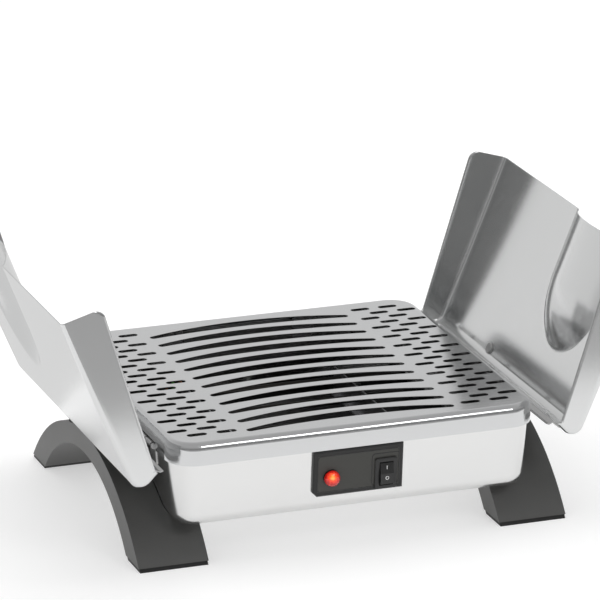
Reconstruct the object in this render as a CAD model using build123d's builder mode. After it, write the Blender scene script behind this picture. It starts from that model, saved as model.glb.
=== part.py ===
from build123d import *
from math import cos, radians, sin, sqrt, tan
import os

# Tabletop electric plate warmer: a pressed steel base on two arched feet, a slotted top in which
# plates stand on edge, and two steel lids that swing up as wings. Millimetres, +Z up. The origin
# is on the table under the middle of the base, the control panel faces -Y, the lids are open.

# Driving dimensions ---------------------------------------------------------------------------

# Top grille
base_width = 320.0
base_depth = 300.0
plate_top = 107.0
rim_bottom = 88.3
rim_bend = 6.0
corner_radius = 24.0
grille_sheet = 0.8
slot_count = 12
slot_front_margin = 18.9
slot_back_margin = 34.7
slot_vent_gap = 7.5
slot_end_width = 6.5
slot_front_rise = 7.05
slot_back_rise = 13.95
vent_length = 17.0
vent_width = 6.2
vent_side_margin = 14.6
vent_column_pitch = 12.8
vent_columns = 4
vent_end_margin = 22.5
vent_rows = 11

# Base pan
pan_top = 98.0
pan_bottom = 33.0
pan_sheet = 0.8
pan_skirt_gap = 1.2
pan_draft = 4.0
pan_bottom_bend = 10.0

# Feet
foot_underlap = 31.8
foot_width = 60.2
foot_end_inset = 3.5
foot_rise = 72.4
foot_toe = 33.5
foot_inner_rise = 54.5
foot_edge = 1.2
foot_pan_gap = 0.4
pad_thickness = 3.0
pad_inset = 0.8
foot_screw_inset = 7.8
foot_screw_toe = 18.0
foot_screw_diameter = 4.0
foot_screw_length = 10.0
foot_screw_head = 7.0
foot_screw_head_height = 2.2
stop_inset = 5.4
stop_y = 44.0
stop_diameter = 8.0
stop_gap = 0.3
stop_sink = 2.0
stop_round = 1.0

# Lids, described closed; the right one is the reference and the left one is the same turned round
seam_x = 6.5
lid_edge_z = 107.6
lid_height = 36.0
crown_middle_x = 66.5
crown_middle_height = 31.2
bulge_pivot_gap = 4.4
bulge_centre_height = 12.1
bulge_radius = 10.0
crown_end_angle = 84.6
ridge_slope = 60.0
ridge_z = 105.5
lid_overhang = 6.0
lid_sheet = 0.8
lid_wall_bend = 4.0
lid_free_corner = 8.0
lid_spare = 15.0
recess_y = -57.0
recess_half_width = 51.0
recess_depth = 15.0
recess_straight = 57.0
recess_length = 112.0
recess_cut_back = 1.2
recess_tilt = 5.4
lid_stud_back = 2.5
lid_stud_y = 50.0
lid_stud_head = 10.0
lid_stud_head_height = 1.8
lid_stud_shank = 4.0
open_angle = 107.0

# Hinges
pivot_overhang = 0.5
pivot_z = 91.2
rod_diameter = 3.0
rod_end_reach = 2.0
rod_cap_diameter = 4.6
rod_cap_length = 2.0
hinge_sheet = 0.8
hinge_clearance = 0.08
hinge_wrap = 290.0
leaf_end_inset = 3.0
leaf_flange = 8.0
leaf_shoulder_z = 102.2
leaf_strip_end_z = 99.5
knuckle_pitch = 90.0
knuckle_width = 14.0
knuckle_gap = 0.8
bracket_knee_z = 88.6
bracket_joggle_z = 86.0
bracket_foot_z = 73.5
notch_end_gap = 2.0
notch_top = 95.0
rivet_inner_y = 45.0
rivet_end_inset = 22.0
rivet_shank = 2.4
rivet_head = 5.0
rivet_head_height = 1.0

# Control panel, all on the slanted front of the pan
panel_width = 79.0
panel_height = 40.0
panel_thickness = 3.2
panel_bevel = 1.2
panel_cut_corner = 4.0
panel_z = 67.5
panel_peg_diameter = 4.0
panel_peg_length = 7.0
panel_peg_inset = 8.0
panel_peg_rise = 10.0
lamp_x = -23.5
lamp_rise = -3.6
lens_diameter = 13.4
lens_height = 5.6
lens_wall = 1.2
lens_round = 4.6
holder_flange_diameter = 14.4
holder_flange = 0.9
holder_diameter = 10.0
holder_length = 22.0
holder_bore = 7.0
holder_bore_depth = 14.0
holder_nut_size = 14.0
holder_nut_height = 2.5
bulb_diameter = 5.0
bulb_length = 12.0
bulb_socket_depth = 4.0
switch_x = 24.0
switch_rise = -5.0
bezel_width = 19.3
bezel_height = 27.5
bezel_thickness = 1.8
bezel_corner = 1.6
switch_body_width = 16.0
switch_body_height = 24.0
switch_body_depth = 20.0
switch_terminal_length = 8.0
switch_terminal_width = 4.8
switch_terminal_thickness = 2.2
switch_terminal_rises = (-7.0, 7.0)
rocker_width = 11.4
rocker_half_height = 10.2
rocker_gap = 0.3
rocker_pivot_depth = 3.0
rocker_pocket_depth = 13.0
rocker_tilt = 8.0
rocker_back = 4.0
rocker_peak = 5.6
rocker_tip = 4.6
trunnion_diameter = 2.4
trunnion_length = 1.4
trunnion_clearance = 0.05
fit_gap = 0.3

# Heater and reflector
element_diameter = 6.5
element_z = 64.0
element_pitch = 50.0
element_side_gap = 60.0
element_lead = 36.0
element_bracket_x = 70.0
element_bracket_sheet = 1.5
element_bracket_half_length = 92.0
element_bracket_foot = 10.0
element_bracket_rise = 3.0
reflector_z = 46.0
reflector_side_gap = 25.0
reflector_end_gap = 40.0
reflector_lip = 12.0
reflector_sheet = 0.6
reflector_corner = 12.0
post_side_inset = 40.0
post_end_inset = 10.0
post_diameter = 8.0
post_screw_diameter = 3.0
post_screw_head = 6.0
post_screw_head_height = 2.0
post_screw_length = 8.0

# Grille fixings
grille_bracket_x = 60.0
grille_bracket_width = 18.0
grille_bracket_sheet = 1.2
grille_bracket_flange = 10.0
grille_bracket_leg_z = 82.0
grille_bracket_joggle = 4.0
grille_bracket_knee_drop = 1.0
stud_diameter = 4.0
stud_length = 9.0
nut_size = 7.0
nut_height = 3.2

# Electrical parts on the pan floor and the back wall
inlet_x = -70.0
inlet_z = 63.0
inlet_flange_width = 50.0
inlet_flange_height = 22.6
inlet_flange_thickness = 3.0
inlet_body_width = 27.0
inlet_body_height = 19.5
inlet_body_depth = 21.0
inlet_cavity_width = 24.4
inlet_cavity_height = 16.4
inlet_cavity_depth = 16.5
inlet_screw_pitch = 40.0
inlet_screw_diameter = 3.2
inlet_screw_head = 6.0
inlet_screw_head_height = 1.6
inlet_screw_length = 8.0
inlet_corner = 3.0
inlet_nut_height = 2.6
pin_width = 4.0
pin_thickness = 2.0
pin_out = 13.0
pin_tail = 4.0
pin_pitch = 7.0
pin_rise = 2.0
terminal_block_size = (34.0, 18.0, 9.0)
terminal_block_x = -20.0
terminal_block_back_gap = 32.0
terminal_screw_diameter = 4.0
terminal_screw_depth = 2.0
thermostat_diameter = 16.0
thermostat_height = 8.0
thermostat_tab = (4.0, 5.0, 3.0)
fuse_diameter = 4.0
fuse_length = 14.0
fuse_centre = (-30.0, 40.0)
earth_stud_side_gap = 50.0
earth_stud_back_gap = 33.4
earth_stud_diameter = 4.0
earth_stud_length = 12.0
earth_tab_diameter = 10.0
earth_tab_thickness = 1.0
earth_barrel = 4.0
earth_barrel_lap = 0.6
earth_nut_size = 7.0
earth_nut_top = 40.0
wire_diameter = 2.2
wire_bend = 3.0
wire_lead = 5.0
wire_low_z = 36.3
wire_mid_z = 40.0
wire_high_z = 44.0
wire_wall_gap = 37.4
switch_wire_runs = ((-28.5, 52.0, 24.5, 7.0), (-12.0, 60.0, 30.0, -7.0))
fuse_wire_x = -55.0
heater_return_x = -34.0

os.makedirs("parts", exist_ok=True)


def keep(part, name):
    """Label a finished piece and write it under its node name."""
    part.label = name
    export_step(part, f"parts/{name}.step")


def wall_inset(z):
    """How far the drafted pan wall has moved in at height z, measured from the pan's top."""
    return (pan_top - z) * tan(radians(pan_draft))


# Derived sizes --------------------------------------------------------------------------------

half_width = base_width / 2
half_depth = base_depth / 2
slot_pitch = (base_depth - slot_front_margin - slot_back_margin) / (slot_count - 1)
slot_first_y = slot_front_margin - half_depth
vent_first_column = half_width - vent_side_margin - (vent_columns - 1) * vent_column_pitch
vent_row_pitch = (base_depth - 2 * vent_end_margin) / (vent_rows - 1)
slot_half_length = vent_first_column - vent_length / 2 - slot_vent_gap
pan_half_width = half_width - grille_sheet - pan_skirt_gap
pan_half_depth = half_depth - grille_sheet - pan_skirt_gap
pan_corner = corner_radius - grille_sheet - pan_skirt_gap
pan_floor = pan_bottom + pan_sheet
front_y = -(pan_half_depth - wall_inset(panel_z))
draft_cos = cos(radians(pan_draft))
draft_sin = sin(radians(pan_draft))
wall_run = pan_sheet / draft_cos
foot_inner_x = half_width - foot_underlap
foot_half_span = half_depth - foot_end_inset
foot_inner_half_span = foot_half_span - foot_toe
foot_screw_x = foot_inner_x + foot_screw_inset
foot_screw_y = foot_inner_half_span - foot_screw_toe
stop_x = foot_inner_x + foot_width - stop_inset
pivot_x = half_width + pivot_overhang
bulge_centre_x = pivot_x - bulge_pivot_gap
lid_half_length = half_depth + lid_overhang
leaf_half_length = half_depth - leaf_end_inset
knuckle_centres = (-knuckle_pitch, 0, knuckle_pitch)
rod_half_length = knuckle_pitch + knuckle_width / 2 + rod_end_reach
notch_half_length = rod_half_length + rod_cap_length + notch_end_gap
rivet_outer_y = leaf_half_length - rivet_end_inset
element_half_run = half_width - element_side_gap
reflector_width = base_width - 2 * reflector_side_gap
reflector_depth = base_depth - 2 * reflector_end_gap
post_x = reflector_width / 2 - post_side_inset
post_y = reflector_depth / 2 - post_end_inset
terminal_block_centre = (terminal_block_x, half_depth - terminal_block_back_gap)
earth_stud_centre = (earth_stud_side_gap - half_width, half_depth - earth_stud_back_gap)
wire_drop_y = half_depth - wire_wall_gap
plate_underside = plate_top - grille_sheet

front_plane = Plane(
    origin=(0, front_y, panel_z), x_dir=(1, 0, 0), z_dir=(0, -draft_cos, -draft_sin)
)
back_plane = Plane(
    origin=(inlet_x, pan_half_depth - wall_inset(inlet_z), inlet_z),
    x_dir=(-1, 0, 0),
    z_dir=(0, draft_cos, -draft_sin),
)
switch_centre = (switch_x, switch_rise)
lamp_centre = (lamp_x, lamp_rise)
inlet_screw_places = [(-inlet_screw_pitch / 2, 0), (inlet_screw_pitch / 2, 0)]
panel_peg_places = [(panel_peg_inset - panel_width / 2, panel_peg_rise), (0, -panel_peg_rise)]
foot_screw_places = [(x, y) for x in (-foot_screw_x, foot_screw_x) for y in (-foot_screw_y, foot_screw_y)]
post_places = [(x, y) for x in (-post_x, post_x) for y in (-post_y, post_y)]


def pan_block(grow, floor_z, bend):
    """Solid of the drafted pan down to floor_z, grown sideways, with a rounded bottom edge."""
    inset = wall_inset(floor_z) - grow
    with BuildPart() as block:
        with BuildSketch(Plane.XY.offset(floor_z)):
            RectangleRounded(2 * (pan_half_width - inset), 2 * (pan_half_depth - inset), pan_corner - inset)
        extrude(amount=pan_top - floor_z, taper=-pan_draft)
        fillet(block.faces().sort_by(Axis.Z)[0].edges(), bend)
    return block.part


# Base pan -------------------------------------------------------------------------------------

with BuildPart() as base_pan:
    add(pan_block(0, pan_bottom, pan_bottom_bend))
    add(pan_block(-wall_run, pan_floor, pan_bottom_bend - pan_sheet), mode=Mode.SUBTRACT)
    with BuildSketch(front_plane.offset(-pan_sheet * 2)):
        with Locations(switch_centre):
            Rectangle(switch_body_width + 2 * fit_gap, switch_body_height + 2 * fit_gap)
        with Locations(lamp_centre):
            Circle(holder_diameter / 2 + fit_gap)
        with Locations(panel_peg_places):
            Circle(panel_peg_diameter / 2 + fit_gap)
    extrude(amount=pan_sheet * 4, mode=Mode.SUBTRACT)
    with BuildSketch(back_plane.offset(-pan_sheet * 2)):
        Rectangle(inlet_body_width + 2 * fit_gap, inlet_body_height + 2 * fit_gap)
        with Locations(inlet_screw_places):
            Circle(inlet_screw_diameter / 2 + fit_gap)
    extrude(amount=pan_sheet * 4, mode=Mode.SUBTRACT)
    with BuildSketch(Plane.XY.offset(pan_bottom - pan_sheet)):
        with Locations(foot_screw_places):
            Circle(foot_screw_diameter / 2)
        with Locations(earth_stud_centre):
            Circle(earth_stud_diameter / 2)
    extrude(amount=pan_sheet * 3, mode=Mode.SUBTRACT)
keep(base_pan.part, "base_pan")

# Top grille -----------------------------------------------------------------------------------

with BuildPart() as top_grille:
    with BuildSketch(Plane.XY.offset(rim_bottom)):
        RectangleRounded(base_width, base_depth, corner_radius)
    extrude(amount=plate_top - rim_bottom)
    fillet(top_grille.faces().sort_by(Axis.Z)[-1].edges(), rim_bend)
    offset(amount=-grille_sheet, openings=top_grille.faces().sort_by(Axis.Z)[0])
    with BuildSketch(Plane.XY.offset(plate_top - 2 * grille_sheet)):
        for slot in range(slot_count):
            y = slot_first_y + slot * slot_pitch
            half = slot_end_width / 2
            run = slot_half_length - half
            with BuildLine():
                front = ThreePointArc((-run, y - half), (0, y - half + slot_front_rise), (run, y - half))
                back = ThreePointArc((run, y + half), (0, y + half + slot_back_rise), (-run, y + half))
                ThreePointArc(front @ 1, (run + half, y), back @ 0)
                ThreePointArc(back @ 1, (-run - half, y), front @ 0)
            make_face()
        for column in range(vent_columns):
            x = vent_first_column + column * vent_column_pitch
            with GridLocations(2 * x, vent_row_pitch, 2, vent_rows - column % 2):
                SlotOverall(vent_length, vent_width)
    extrude(amount=3 * grille_sheet, mode=Mode.SUBTRACT)
    with BuildSketch(Plane.XY.offset(rim_bottom)):
        with Locations((-base_width / 2, 0), (base_width / 2, 0)):
            Rectangle(4 * grille_sheet, 2 * notch_half_length)
    extrude(amount=notch_top - rim_bottom, mode=Mode.SUBTRACT)
keep(top_grille.part, "top_grille")

# Grille fixings: brackets welded inside the pan, studs under the plate, nuts ---------------------

bracket_outer_y = pan_half_depth - wall_run
bracket_stud_y = bracket_outer_y - grille_bracket_flange
bracket_xs = (-grille_bracket_x, grille_bracket_x)
stud_places = [(x, side * bracket_stud_y) for x in bracket_xs for side in (-1, 1)]
leg_run = grille_bracket_sheet / draft_cos


def inner_wall_y(z):
    """Inner face of the pan's back wall, carried on above the pan's top."""
    return bracket_outer_y - wall_inset(z)


with BuildPart() as grille_brackets:
    for x in bracket_xs:
        for side in (-1, 1):
            knee_z = pan_top - grille_bracket_knee_drop
            joggle = grille_bracket_joggle
            low_joggle = joggle + grille_bracket_knee_drop
            knee_y = inner_wall_y(knee_z)
            flange_tip = bracket_stud_y - grille_bracket_flange / 2
            with BuildSketch(Plane.YZ.offset(x - grille_bracket_width / 2)):
                with BuildLine():
                    Polyline(
                        (side * inner_wall_y(grille_bracket_leg_z), grille_bracket_leg_z),
                        (side * knee_y, knee_z),
                        (side * (knee_y - joggle), plate_underside),
                        (side * flange_tip, plate_underside),
                        (side * flange_tip, plate_underside - grille_bracket_sheet),
                        (side * (knee_y - low_joggle), plate_underside - grille_bracket_sheet),
                        (side * (knee_y - leg_run), knee_z),
                        (side * (inner_wall_y(grille_bracket_leg_z) - leg_run), grille_bracket_leg_z),
                        close=True,
                    )
                make_face()
            extrude(amount=grille_bracket_width)
    with BuildSketch(Plane.XY.offset(plate_underside - 2 * grille_bracket_sheet)):
        with Locations(stud_places):
            Circle(stud_diameter / 2 + fit_gap)
    extrude(amount=2 * grille_bracket_sheet, mode=Mode.SUBTRACT)
keep(grille_brackets.part, "grille_brackets")

with BuildPart() as grille_studs:
    with BuildSketch(Plane.XY.offset(plate_underside - stud_length)):
        with Locations(stud_places):
            Circle(stud_diameter / 2)
    extrude(amount=stud_length)
keep(grille_studs.part, "grille_studs")

with BuildPart() as grille_nuts:
    with BuildSketch(Plane.XY.offset(plate_underside - grille_bracket_sheet - nut_height)):
        with Locations(stud_places):
            RegularPolygon(nut_size / 2, 6, major_radius=False)
        with Locations(stud_places):
            Circle(stud_diameter / 2, mode=Mode.SUBTRACT)
    extrude(amount=nut_height)
keep(grille_nuts.part, "grille_nuts")

# Feet, their rubber pads, the lid stops and the foot screws -------------------------------------


def arch_height(half_span, rise, y):
    """Height at y of a round arch that stands on the table."""
    radius = (half_span**2 + rise**2) / (2 * rise)
    return sqrt(radius**2 - y**2) - (radius - rise)


def foot_block(start_x, width, inset):
    """Band between a foot's two round arches, shrunk by inset and standing on the table."""
    with BuildPart() as block:
        with BuildSketch(Plane.YZ.offset(start_x)):
            outer = foot_half_span - inset
            inner = foot_inner_half_span + inset
            with BuildLine():
                crown = ThreePointArc((-outer, 0), (0, foot_rise - inset), (outer, 0))
                hollow = ThreePointArc((inner, 0), (0, foot_inner_rise + inset), (-inner, 0))
                Line(crown @ 1, hollow @ 0)
                Line(hollow @ 1, crown @ 0)
            make_face()
        extrude(amount=width)
    return block.part


foot_hollow = pan_block(foot_pan_gap, pan_bottom, pan_bottom_bend)
stop_base_z = arch_height(foot_half_span, foot_rise, stop_y + stop_diameter / 2) - stop_sink
stop_places = [(-stop_x, stop_y), (stop_x, stop_y)]

with BuildPart() as right_foot:
    add(foot_block(foot_inner_x, foot_width, 0))
    add(foot_hollow, mode=Mode.SUBTRACT)
    with BuildSketch(Plane.XY):
        Rectangle(4 * base_width, 4 * base_depth)
    extrude(amount=pad_thickness, mode=Mode.SUBTRACT)
    with BuildSketch(Plane.XY.offset(pan_bottom)):
        with Locations((foot_screw_x, -foot_screw_y), (foot_screw_x, foot_screw_y)):
            Circle(foot_screw_diameter / 2)
    extrude(amount=-foot_screw_length, mode=Mode.SUBTRACT)
    with BuildSketch(Plane.XY.offset(stop_base_z)):
        with Locations(stop_places):
            Circle(stop_diameter / 2)
    extrude(amount=foot_rise, mode=Mode.SUBTRACT)
keep(right_foot.part, "right_foot")
keep(right_foot.part.mirror(Plane.YZ), "left_foot")

with BuildPart() as right_foot_pads:
    add(foot_block(foot_inner_x + pad_inset, foot_width - 2 * pad_inset, pad_inset))
    with BuildSketch(Plane.XY.offset(pad_thickness)):
        Rectangle(4 * base_width, 4 * base_depth)
    extrude(amount=foot_rise, mode=Mode.SUBTRACT)
keep(right_foot_pads.part, "right_foot_pads")
keep(right_foot_pads.part.rotate(Axis.Z, 180), "left_foot_pads")

with BuildPart() as foot_screws:
    with BuildSketch(Plane.XY.offset(pan_bottom - foot_screw_length)):
        with Locations(foot_screw_places):
            Circle(foot_screw_diameter / 2)
    extrude(amount=foot_screw_length + pan_sheet)
    with BuildSketch(Plane.XY.offset(pan_floor)):
        with Locations(foot_screw_places):
            Circle(foot_screw_head / 2)
    extrude(amount=foot_screw_head_height)
keep(foot_screws.part, "foot_screws")

# Lids -----------------------------------------------------------------------------------------

open_cos = cos(radians(open_angle))
open_sin = sin(radians(open_angle))
bulge_z = lid_edge_z + bulge_centre_height
slope_cos = cos(radians(ridge_slope))
slope_sin = sin(radians(ridge_slope))
crown_cos = cos(radians(crown_end_angle))
crown_sin = sin(radians(crown_end_angle))
crown_end = (bulge_centre_x + bulge_radius * crown_cos, bulge_z + bulge_radius * crown_sin)
bulge_end = (bulge_centre_x + bulge_radius * slope_sin, bulge_z - bulge_radius * slope_cos)
ridge_x = bulge_end[0] - (bulge_end[1] - ridge_z) * slope_cos / slope_sin
flange_middle_x = ridge_x + leaf_flange / 2 * slope_cos
flange_middle_z = ridge_z + leaf_flange / 2 * slope_sin
flange_plane = Plane(
    origin=(flange_middle_x, 0, flange_middle_z), x_dir=(0, 1, 0), z_dir=(slope_sin, 0, -slope_cos)
)
lid_stud_plane = Plane(
    origin=(
        crown_end[0] - lid_stud_back * crown_sin,
        lid_stud_y,
        crown_end[1] + lid_stud_back * crown_cos,
    ),
    x_dir=(0, 1, 0),
    z_dir=(crown_cos, 0, crown_sin),
)
rivet_places = [(y, 0) for y in (-rivet_outer_y, -rivet_inner_y, rivet_inner_y, rivet_outer_y)]
front_view = Plane(origin=(0, 0, 0), x_dir=(1, 0, 0), z_dir=(0, -1, 0))
right_pivot = Axis((pivot_x, 0, pivot_z), (0, 1, 0))


def lid_block(inset):
    """Solid bounded by the lid's outer skin moved in by inset, longer than the lid at open sides."""
    with BuildPart() as block:
        with BuildSketch(front_view.offset(-(lid_half_length - inset))):
            with BuildLine():
                crown = ThreePointArc(
                    (seam_x, lid_edge_z + lid_height),
                    (crown_middle_x, lid_edge_z + crown_middle_height),
                    crown_end,
                )
                bulge = ThreePointArc(crown @ 1, (bulge_centre_x + bulge_radius, bulge_z), bulge_end)
                slope = Line(bulge @ 1, (ridge_x - lid_spare * slope_cos, ridge_z - lid_spare * slope_sin))
                lead = Line((crown @ 0) - lid_spare * (crown % 0), crown @ 0)
                low_corner = (seam_x - lid_spare, (slope @ 1).Y)
                Line(slope @ 1, low_corner)
                Line(low_corner, lead @ 0)
            make_face()
            offset(amount=-inset)
        extrude(amount=2 * (lid_half_length - inset))
        fillet(block.faces().filter_by(Axis.Y).edges().sort_by(Axis.Z)[2:], lid_wall_bend - inset)
    return block.part


def recess_tool(grow):
    """Turned body that presses the finger recess into the seam side of the lid."""
    deep = (recess_half_width**2 + recess_depth**2) / (2 * recess_depth)
    high = deep - recess_depth
    tilt = radians(recess_tilt)
    along = Vector(cos(tilt), 0, -sin(tilt))
    up = Vector(sin(tilt), 0, cos(tilt))
    start = Vector(seam_x, recess_y, lid_edge_z + lid_height) + high * up
    with BuildPart() as tool:
        with BuildSketch(Plane(origin=start, x_dir=along, z_dir=(0, 1, 0))):
            with BuildLine():
                outline = Polyline(
                    (recess_length + grow, 0),
                    (-lid_spare, 0),
                    (-lid_spare, deep + grow),
                    (recess_straight, deep + grow),
                )
                tip = TangentArc(outline @ 1, (recess_length + grow, high), tangent=(1, 0))
                Line(tip @ 1, outline @ 0)
            make_face()
        revolve(axis=Axis(start, along))
    return tool.part


with BuildPart() as lid_trim:
    with BuildSketch(front_view.offset(-2 * lid_half_length)) as trim_face:
        with BuildLine():
            Polyline(
                (seam_x, lid_edge_z),
                (ridge_x - (lid_edge_z - ridge_z) * slope_sin / slope_cos, lid_edge_z),
                (ridge_x, ridge_z),
                (ridge_x + lid_height * slope_sin, ridge_z - lid_height * slope_cos),
                (ridge_x + lid_height, lid_edge_z + 2 * lid_height),
                (seam_x, lid_edge_z + 2 * lid_height),
                close=True,
            )
        make_face()
        fillet(trim_face.vertices().sort_by(lambda corner: corner.X + corner.Y)[0], lid_free_corner)
    extrude(amount=4 * lid_half_length)

with BuildPart() as lid_hollow:
    add(lid_block(lid_sheet))
    add(recess_tool(lid_sheet), mode=Mode.SUBTRACT)

with BuildPart() as closed_lid:
    add(lid_block(0))
    add(recess_tool(0), mode=Mode.SUBTRACT)
    add(lid_hollow.part, mode=Mode.SUBTRACT)
    add(lid_trim.part, mode=Mode.INTERSECT)
    with BuildSketch(Plane.XY.offset(lid_edge_z + recess_depth / 2)):
        with Locations((seam_x, recess_y)):
            RectangleRounded(
                2 * recess_cut_back, 2 * (recess_half_width - recess_cut_back), 0.9 * recess_cut_back
            )
    extrude(amount=lid_height, mode=Mode.SUBTRACT)
    with BuildSketch(flange_plane.offset(-2 * lid_sheet)):
        with Locations(rivet_places):
            Circle(rivet_shank / 2)
    extrude(amount=4 * lid_sheet, mode=Mode.SUBTRACT)
    with BuildSketch(lid_stud_plane.offset(-2 * lid_sheet)):
        Circle(lid_stud_shank / 2)
    extrude(amount=4 * lid_sheet, mode=Mode.SUBTRACT)
right_lid = closed_lid.part.rotate(right_pivot, open_angle)
keep(right_lid, "right_lid")
keep(right_lid.rotate(Axis.Z, 180), "left_lid")

with BuildPart() as closed_stud:
    with BuildSketch(lid_stud_plane.offset(-lid_sheet)):
        Circle(lid_stud_head / 2)
    extrude(amount=-lid_stud_head_height)
    fillet(closed_stud.faces().sort_by(Axis.Z)[0].edges(), lid_stud_head_height / 2)
    with BuildSketch(lid_stud_plane.offset(-lid_sheet)):
        Circle(lid_stud_shank / 2)
    extrude(amount=lid_sheet)
    add(closed_lid.part, mode=Mode.SUBTRACT)
right_stud = closed_stud.part.rotate(right_pivot, open_angle)
keep(right_stud, "right_lid_stud")
keep(right_stud.rotate(Axis.Z, 180), "left_lid_stud")

# Hinges ---------------------------------------------------------------------------------------

leaf_bore = rod_diameter / 2 + hinge_clearance
leaf_centre_x = pivot_x + leaf_bore + hinge_sheet / 2
bracket_centre_x = pivot_x - rod_diameter / 2 - hinge_sheet / 2
half_sheet_x = hinge_sheet / 2 * slope_sin
half_sheet_z = hinge_sheet / 2 * slope_cos
tab_spans = [
    (near + knuckle_width / 2 + knuckle_gap, far - knuckle_width / 2 - knuckle_gap)
    for near, far in zip(knuckle_centres, knuckle_centres[1:])
]


def pan_side_x(z):
    """Outer face of the pan's side wall at height z."""
    return pan_half_width - wall_inset(z)


with BuildPart() as closed_leaf:
    with BuildSketch(front_view.offset(-leaf_half_length)):
        with BuildLine() as strip_line:
            Polyline(
                (
                    ridge_x + leaf_flange * slope_cos + half_sheet_x,
                    ridge_z + leaf_flange * slope_sin - half_sheet_z,
                ),
                (ridge_x + half_sheet_x, ridge_z - half_sheet_z),
                (leaf_centre_x, leaf_shoulder_z),
                (leaf_centre_x, leaf_strip_end_z),
            )
        trace(strip_line.line, line_width=hinge_sheet)
    extrude(amount=2 * leaf_half_length)
    for near, far in tab_spans:
        with BuildSketch(front_view.offset(-far)):
            with BuildLine() as tab_line:
                tab = Line((leaf_centre_x, leaf_strip_end_z), (leaf_centre_x, pivot_z))
                CenterArc((pivot_x, pivot_z), leaf_bore + hinge_sheet / 2, 0, -hinge_wrap)
            trace(tab_line.line, line_width=hinge_sheet)
        extrude(amount=far - near)
    with BuildSketch(flange_plane):
        with Locations(rivet_places):
            Circle(rivet_shank / 2)
    extrude(amount=2 * hinge_sheet, mode=Mode.SUBTRACT)
right_leaf = closed_leaf.part.rotate(right_pivot, open_angle)
keep(right_leaf, "right_hinge_leaf")
keep(right_leaf.rotate(Axis.Z, 180), "left_hinge_leaf")

with BuildPart() as closed_rivets:
    with BuildSketch(flange_plane.offset(-lid_sheet)):
        with Locations(rivet_places):
            Circle(rivet_shank / 2)
    extrude(amount=lid_sheet + hinge_sheet)
    for level in (-lid_sheet - rivet_head_height, hinge_sheet):
        with BuildSketch(flange_plane.offset(level)):
            with Locations(rivet_places):
                Circle(rivet_head / 2)
        extrude(amount=rivet_head_height)
right_rivets = closed_rivets.part.rotate(right_pivot, open_angle)
keep(right_rivets, "right_lid_rivets")
keep(right_rivets.rotate(Axis.Z, 180), "left_lid_rivets")

with BuildPart() as right_hinge_rod:
    with BuildSketch(front_view.offset(-rod_half_length)):
        with Locations((pivot_x, pivot_z)):
            Circle(rod_diameter / 2)
    extrude(amount=2 * rod_half_length)
    for end in (-rod_half_length - rod_cap_length, rod_half_length):
        with BuildSketch(front_view.offset(end)):
            with Locations((pivot_x, pivot_z)):
                Circle(rod_cap_diameter / 2)
        extrude(amount=rod_cap_length)
keep(right_hinge_rod.part, "right_hinge_rod")
keep(right_hinge_rod.part.rotate(Axis.Z, 180), "left_hinge_rod")

with BuildPart() as right_hinge_brackets:
    for centre in knuckle_centres:
        with BuildSketch(front_view.offset(-centre - knuckle_width / 2)):
            with BuildLine() as bracket_line:
                Polyline(
                    (pan_side_x(bracket_foot_z) + hinge_sheet / 2 / draft_cos, bracket_foot_z),
                    (pan_side_x(bracket_joggle_z) + hinge_sheet / 2 / draft_cos, bracket_joggle_z),
                    (bracket_centre_x, bracket_knee_z),
                    (bracket_centre_x, pivot_z),
                )
                CenterArc((pivot_x, pivot_z), rod_diameter / 2 + hinge_sheet / 2, 180, -hinge_wrap)
            trace(bracket_line.line, line_width=hinge_sheet)
        extrude(amount=knuckle_width)
keep(right_hinge_brackets.part, "right_hinge_brackets")
keep(right_hinge_brackets.part.rotate(Axis.Z, 180), "left_hinge_brackets")

# Rubber stops the open lids rest on ---------------------------------------------------------------

open_bulge_x = pivot_x + (bulge_centre_x - pivot_x) * open_cos + (bulge_z - pivot_z) * open_sin
open_bulge_z = pivot_z - (bulge_centre_x - pivot_x) * open_sin + (bulge_z - pivot_z) * open_cos
stop_reach = open_bulge_x - stop_x - stop_diameter / 2
stop_top = open_bulge_z - sqrt(bulge_radius**2 - stop_reach**2) - stop_gap

with BuildPart() as lid_stops:
    with BuildSketch(Plane.XY.offset(stop_base_z)):
        with Locations(stop_places):
            Circle(stop_diameter / 2)
    extrude(amount=stop_top - stop_base_z)
    fillet(lid_stops.faces().sort_by(Axis.Z)[-2:].edges(), stop_round)
keep(lid_stops.part, "lid_stops")

# Control panel --------------------------------------------------------------------------------

with BuildPart() as control_panel:
    with BuildSketch(front_plane) as panel_face:
        Rectangle(panel_width, panel_height)
        chamfer(panel_face.vertices().sort_by(lambda corner: corner.X + corner.Y)[0], panel_cut_corner)
    extrude(amount=panel_thickness)
    chamfer(control_panel.faces().sort_by(Axis.Y)[0].edges(), panel_bevel)
    with BuildSketch(front_plane):
        with Locations(switch_centre):
            Rectangle(switch_body_width + 2 * fit_gap, switch_body_height + 2 * fit_gap)
        with Locations(lamp_centre):
            Circle(holder_diameter / 2 + fit_gap)
    extrude(amount=panel_thickness, mode=Mode.SUBTRACT)
    with BuildSketch(front_plane):
        with Locations(panel_peg_places):
            Circle(panel_peg_diameter / 2)
    extrude(amount=-panel_peg_length)
keep(control_panel.part, "control_panel")

with BuildPart() as panel_clips:
    with BuildSketch(front_plane.offset(-pan_sheet)):
        with Locations(panel_peg_places):
            Circle(panel_peg_diameter)
        with Locations(panel_peg_places):
            Circle(panel_peg_diameter / 2, mode=Mode.SUBTRACT)
    extrude(amount=-pan_sheet)
keep(panel_clips.part, "panel_clips")

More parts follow.
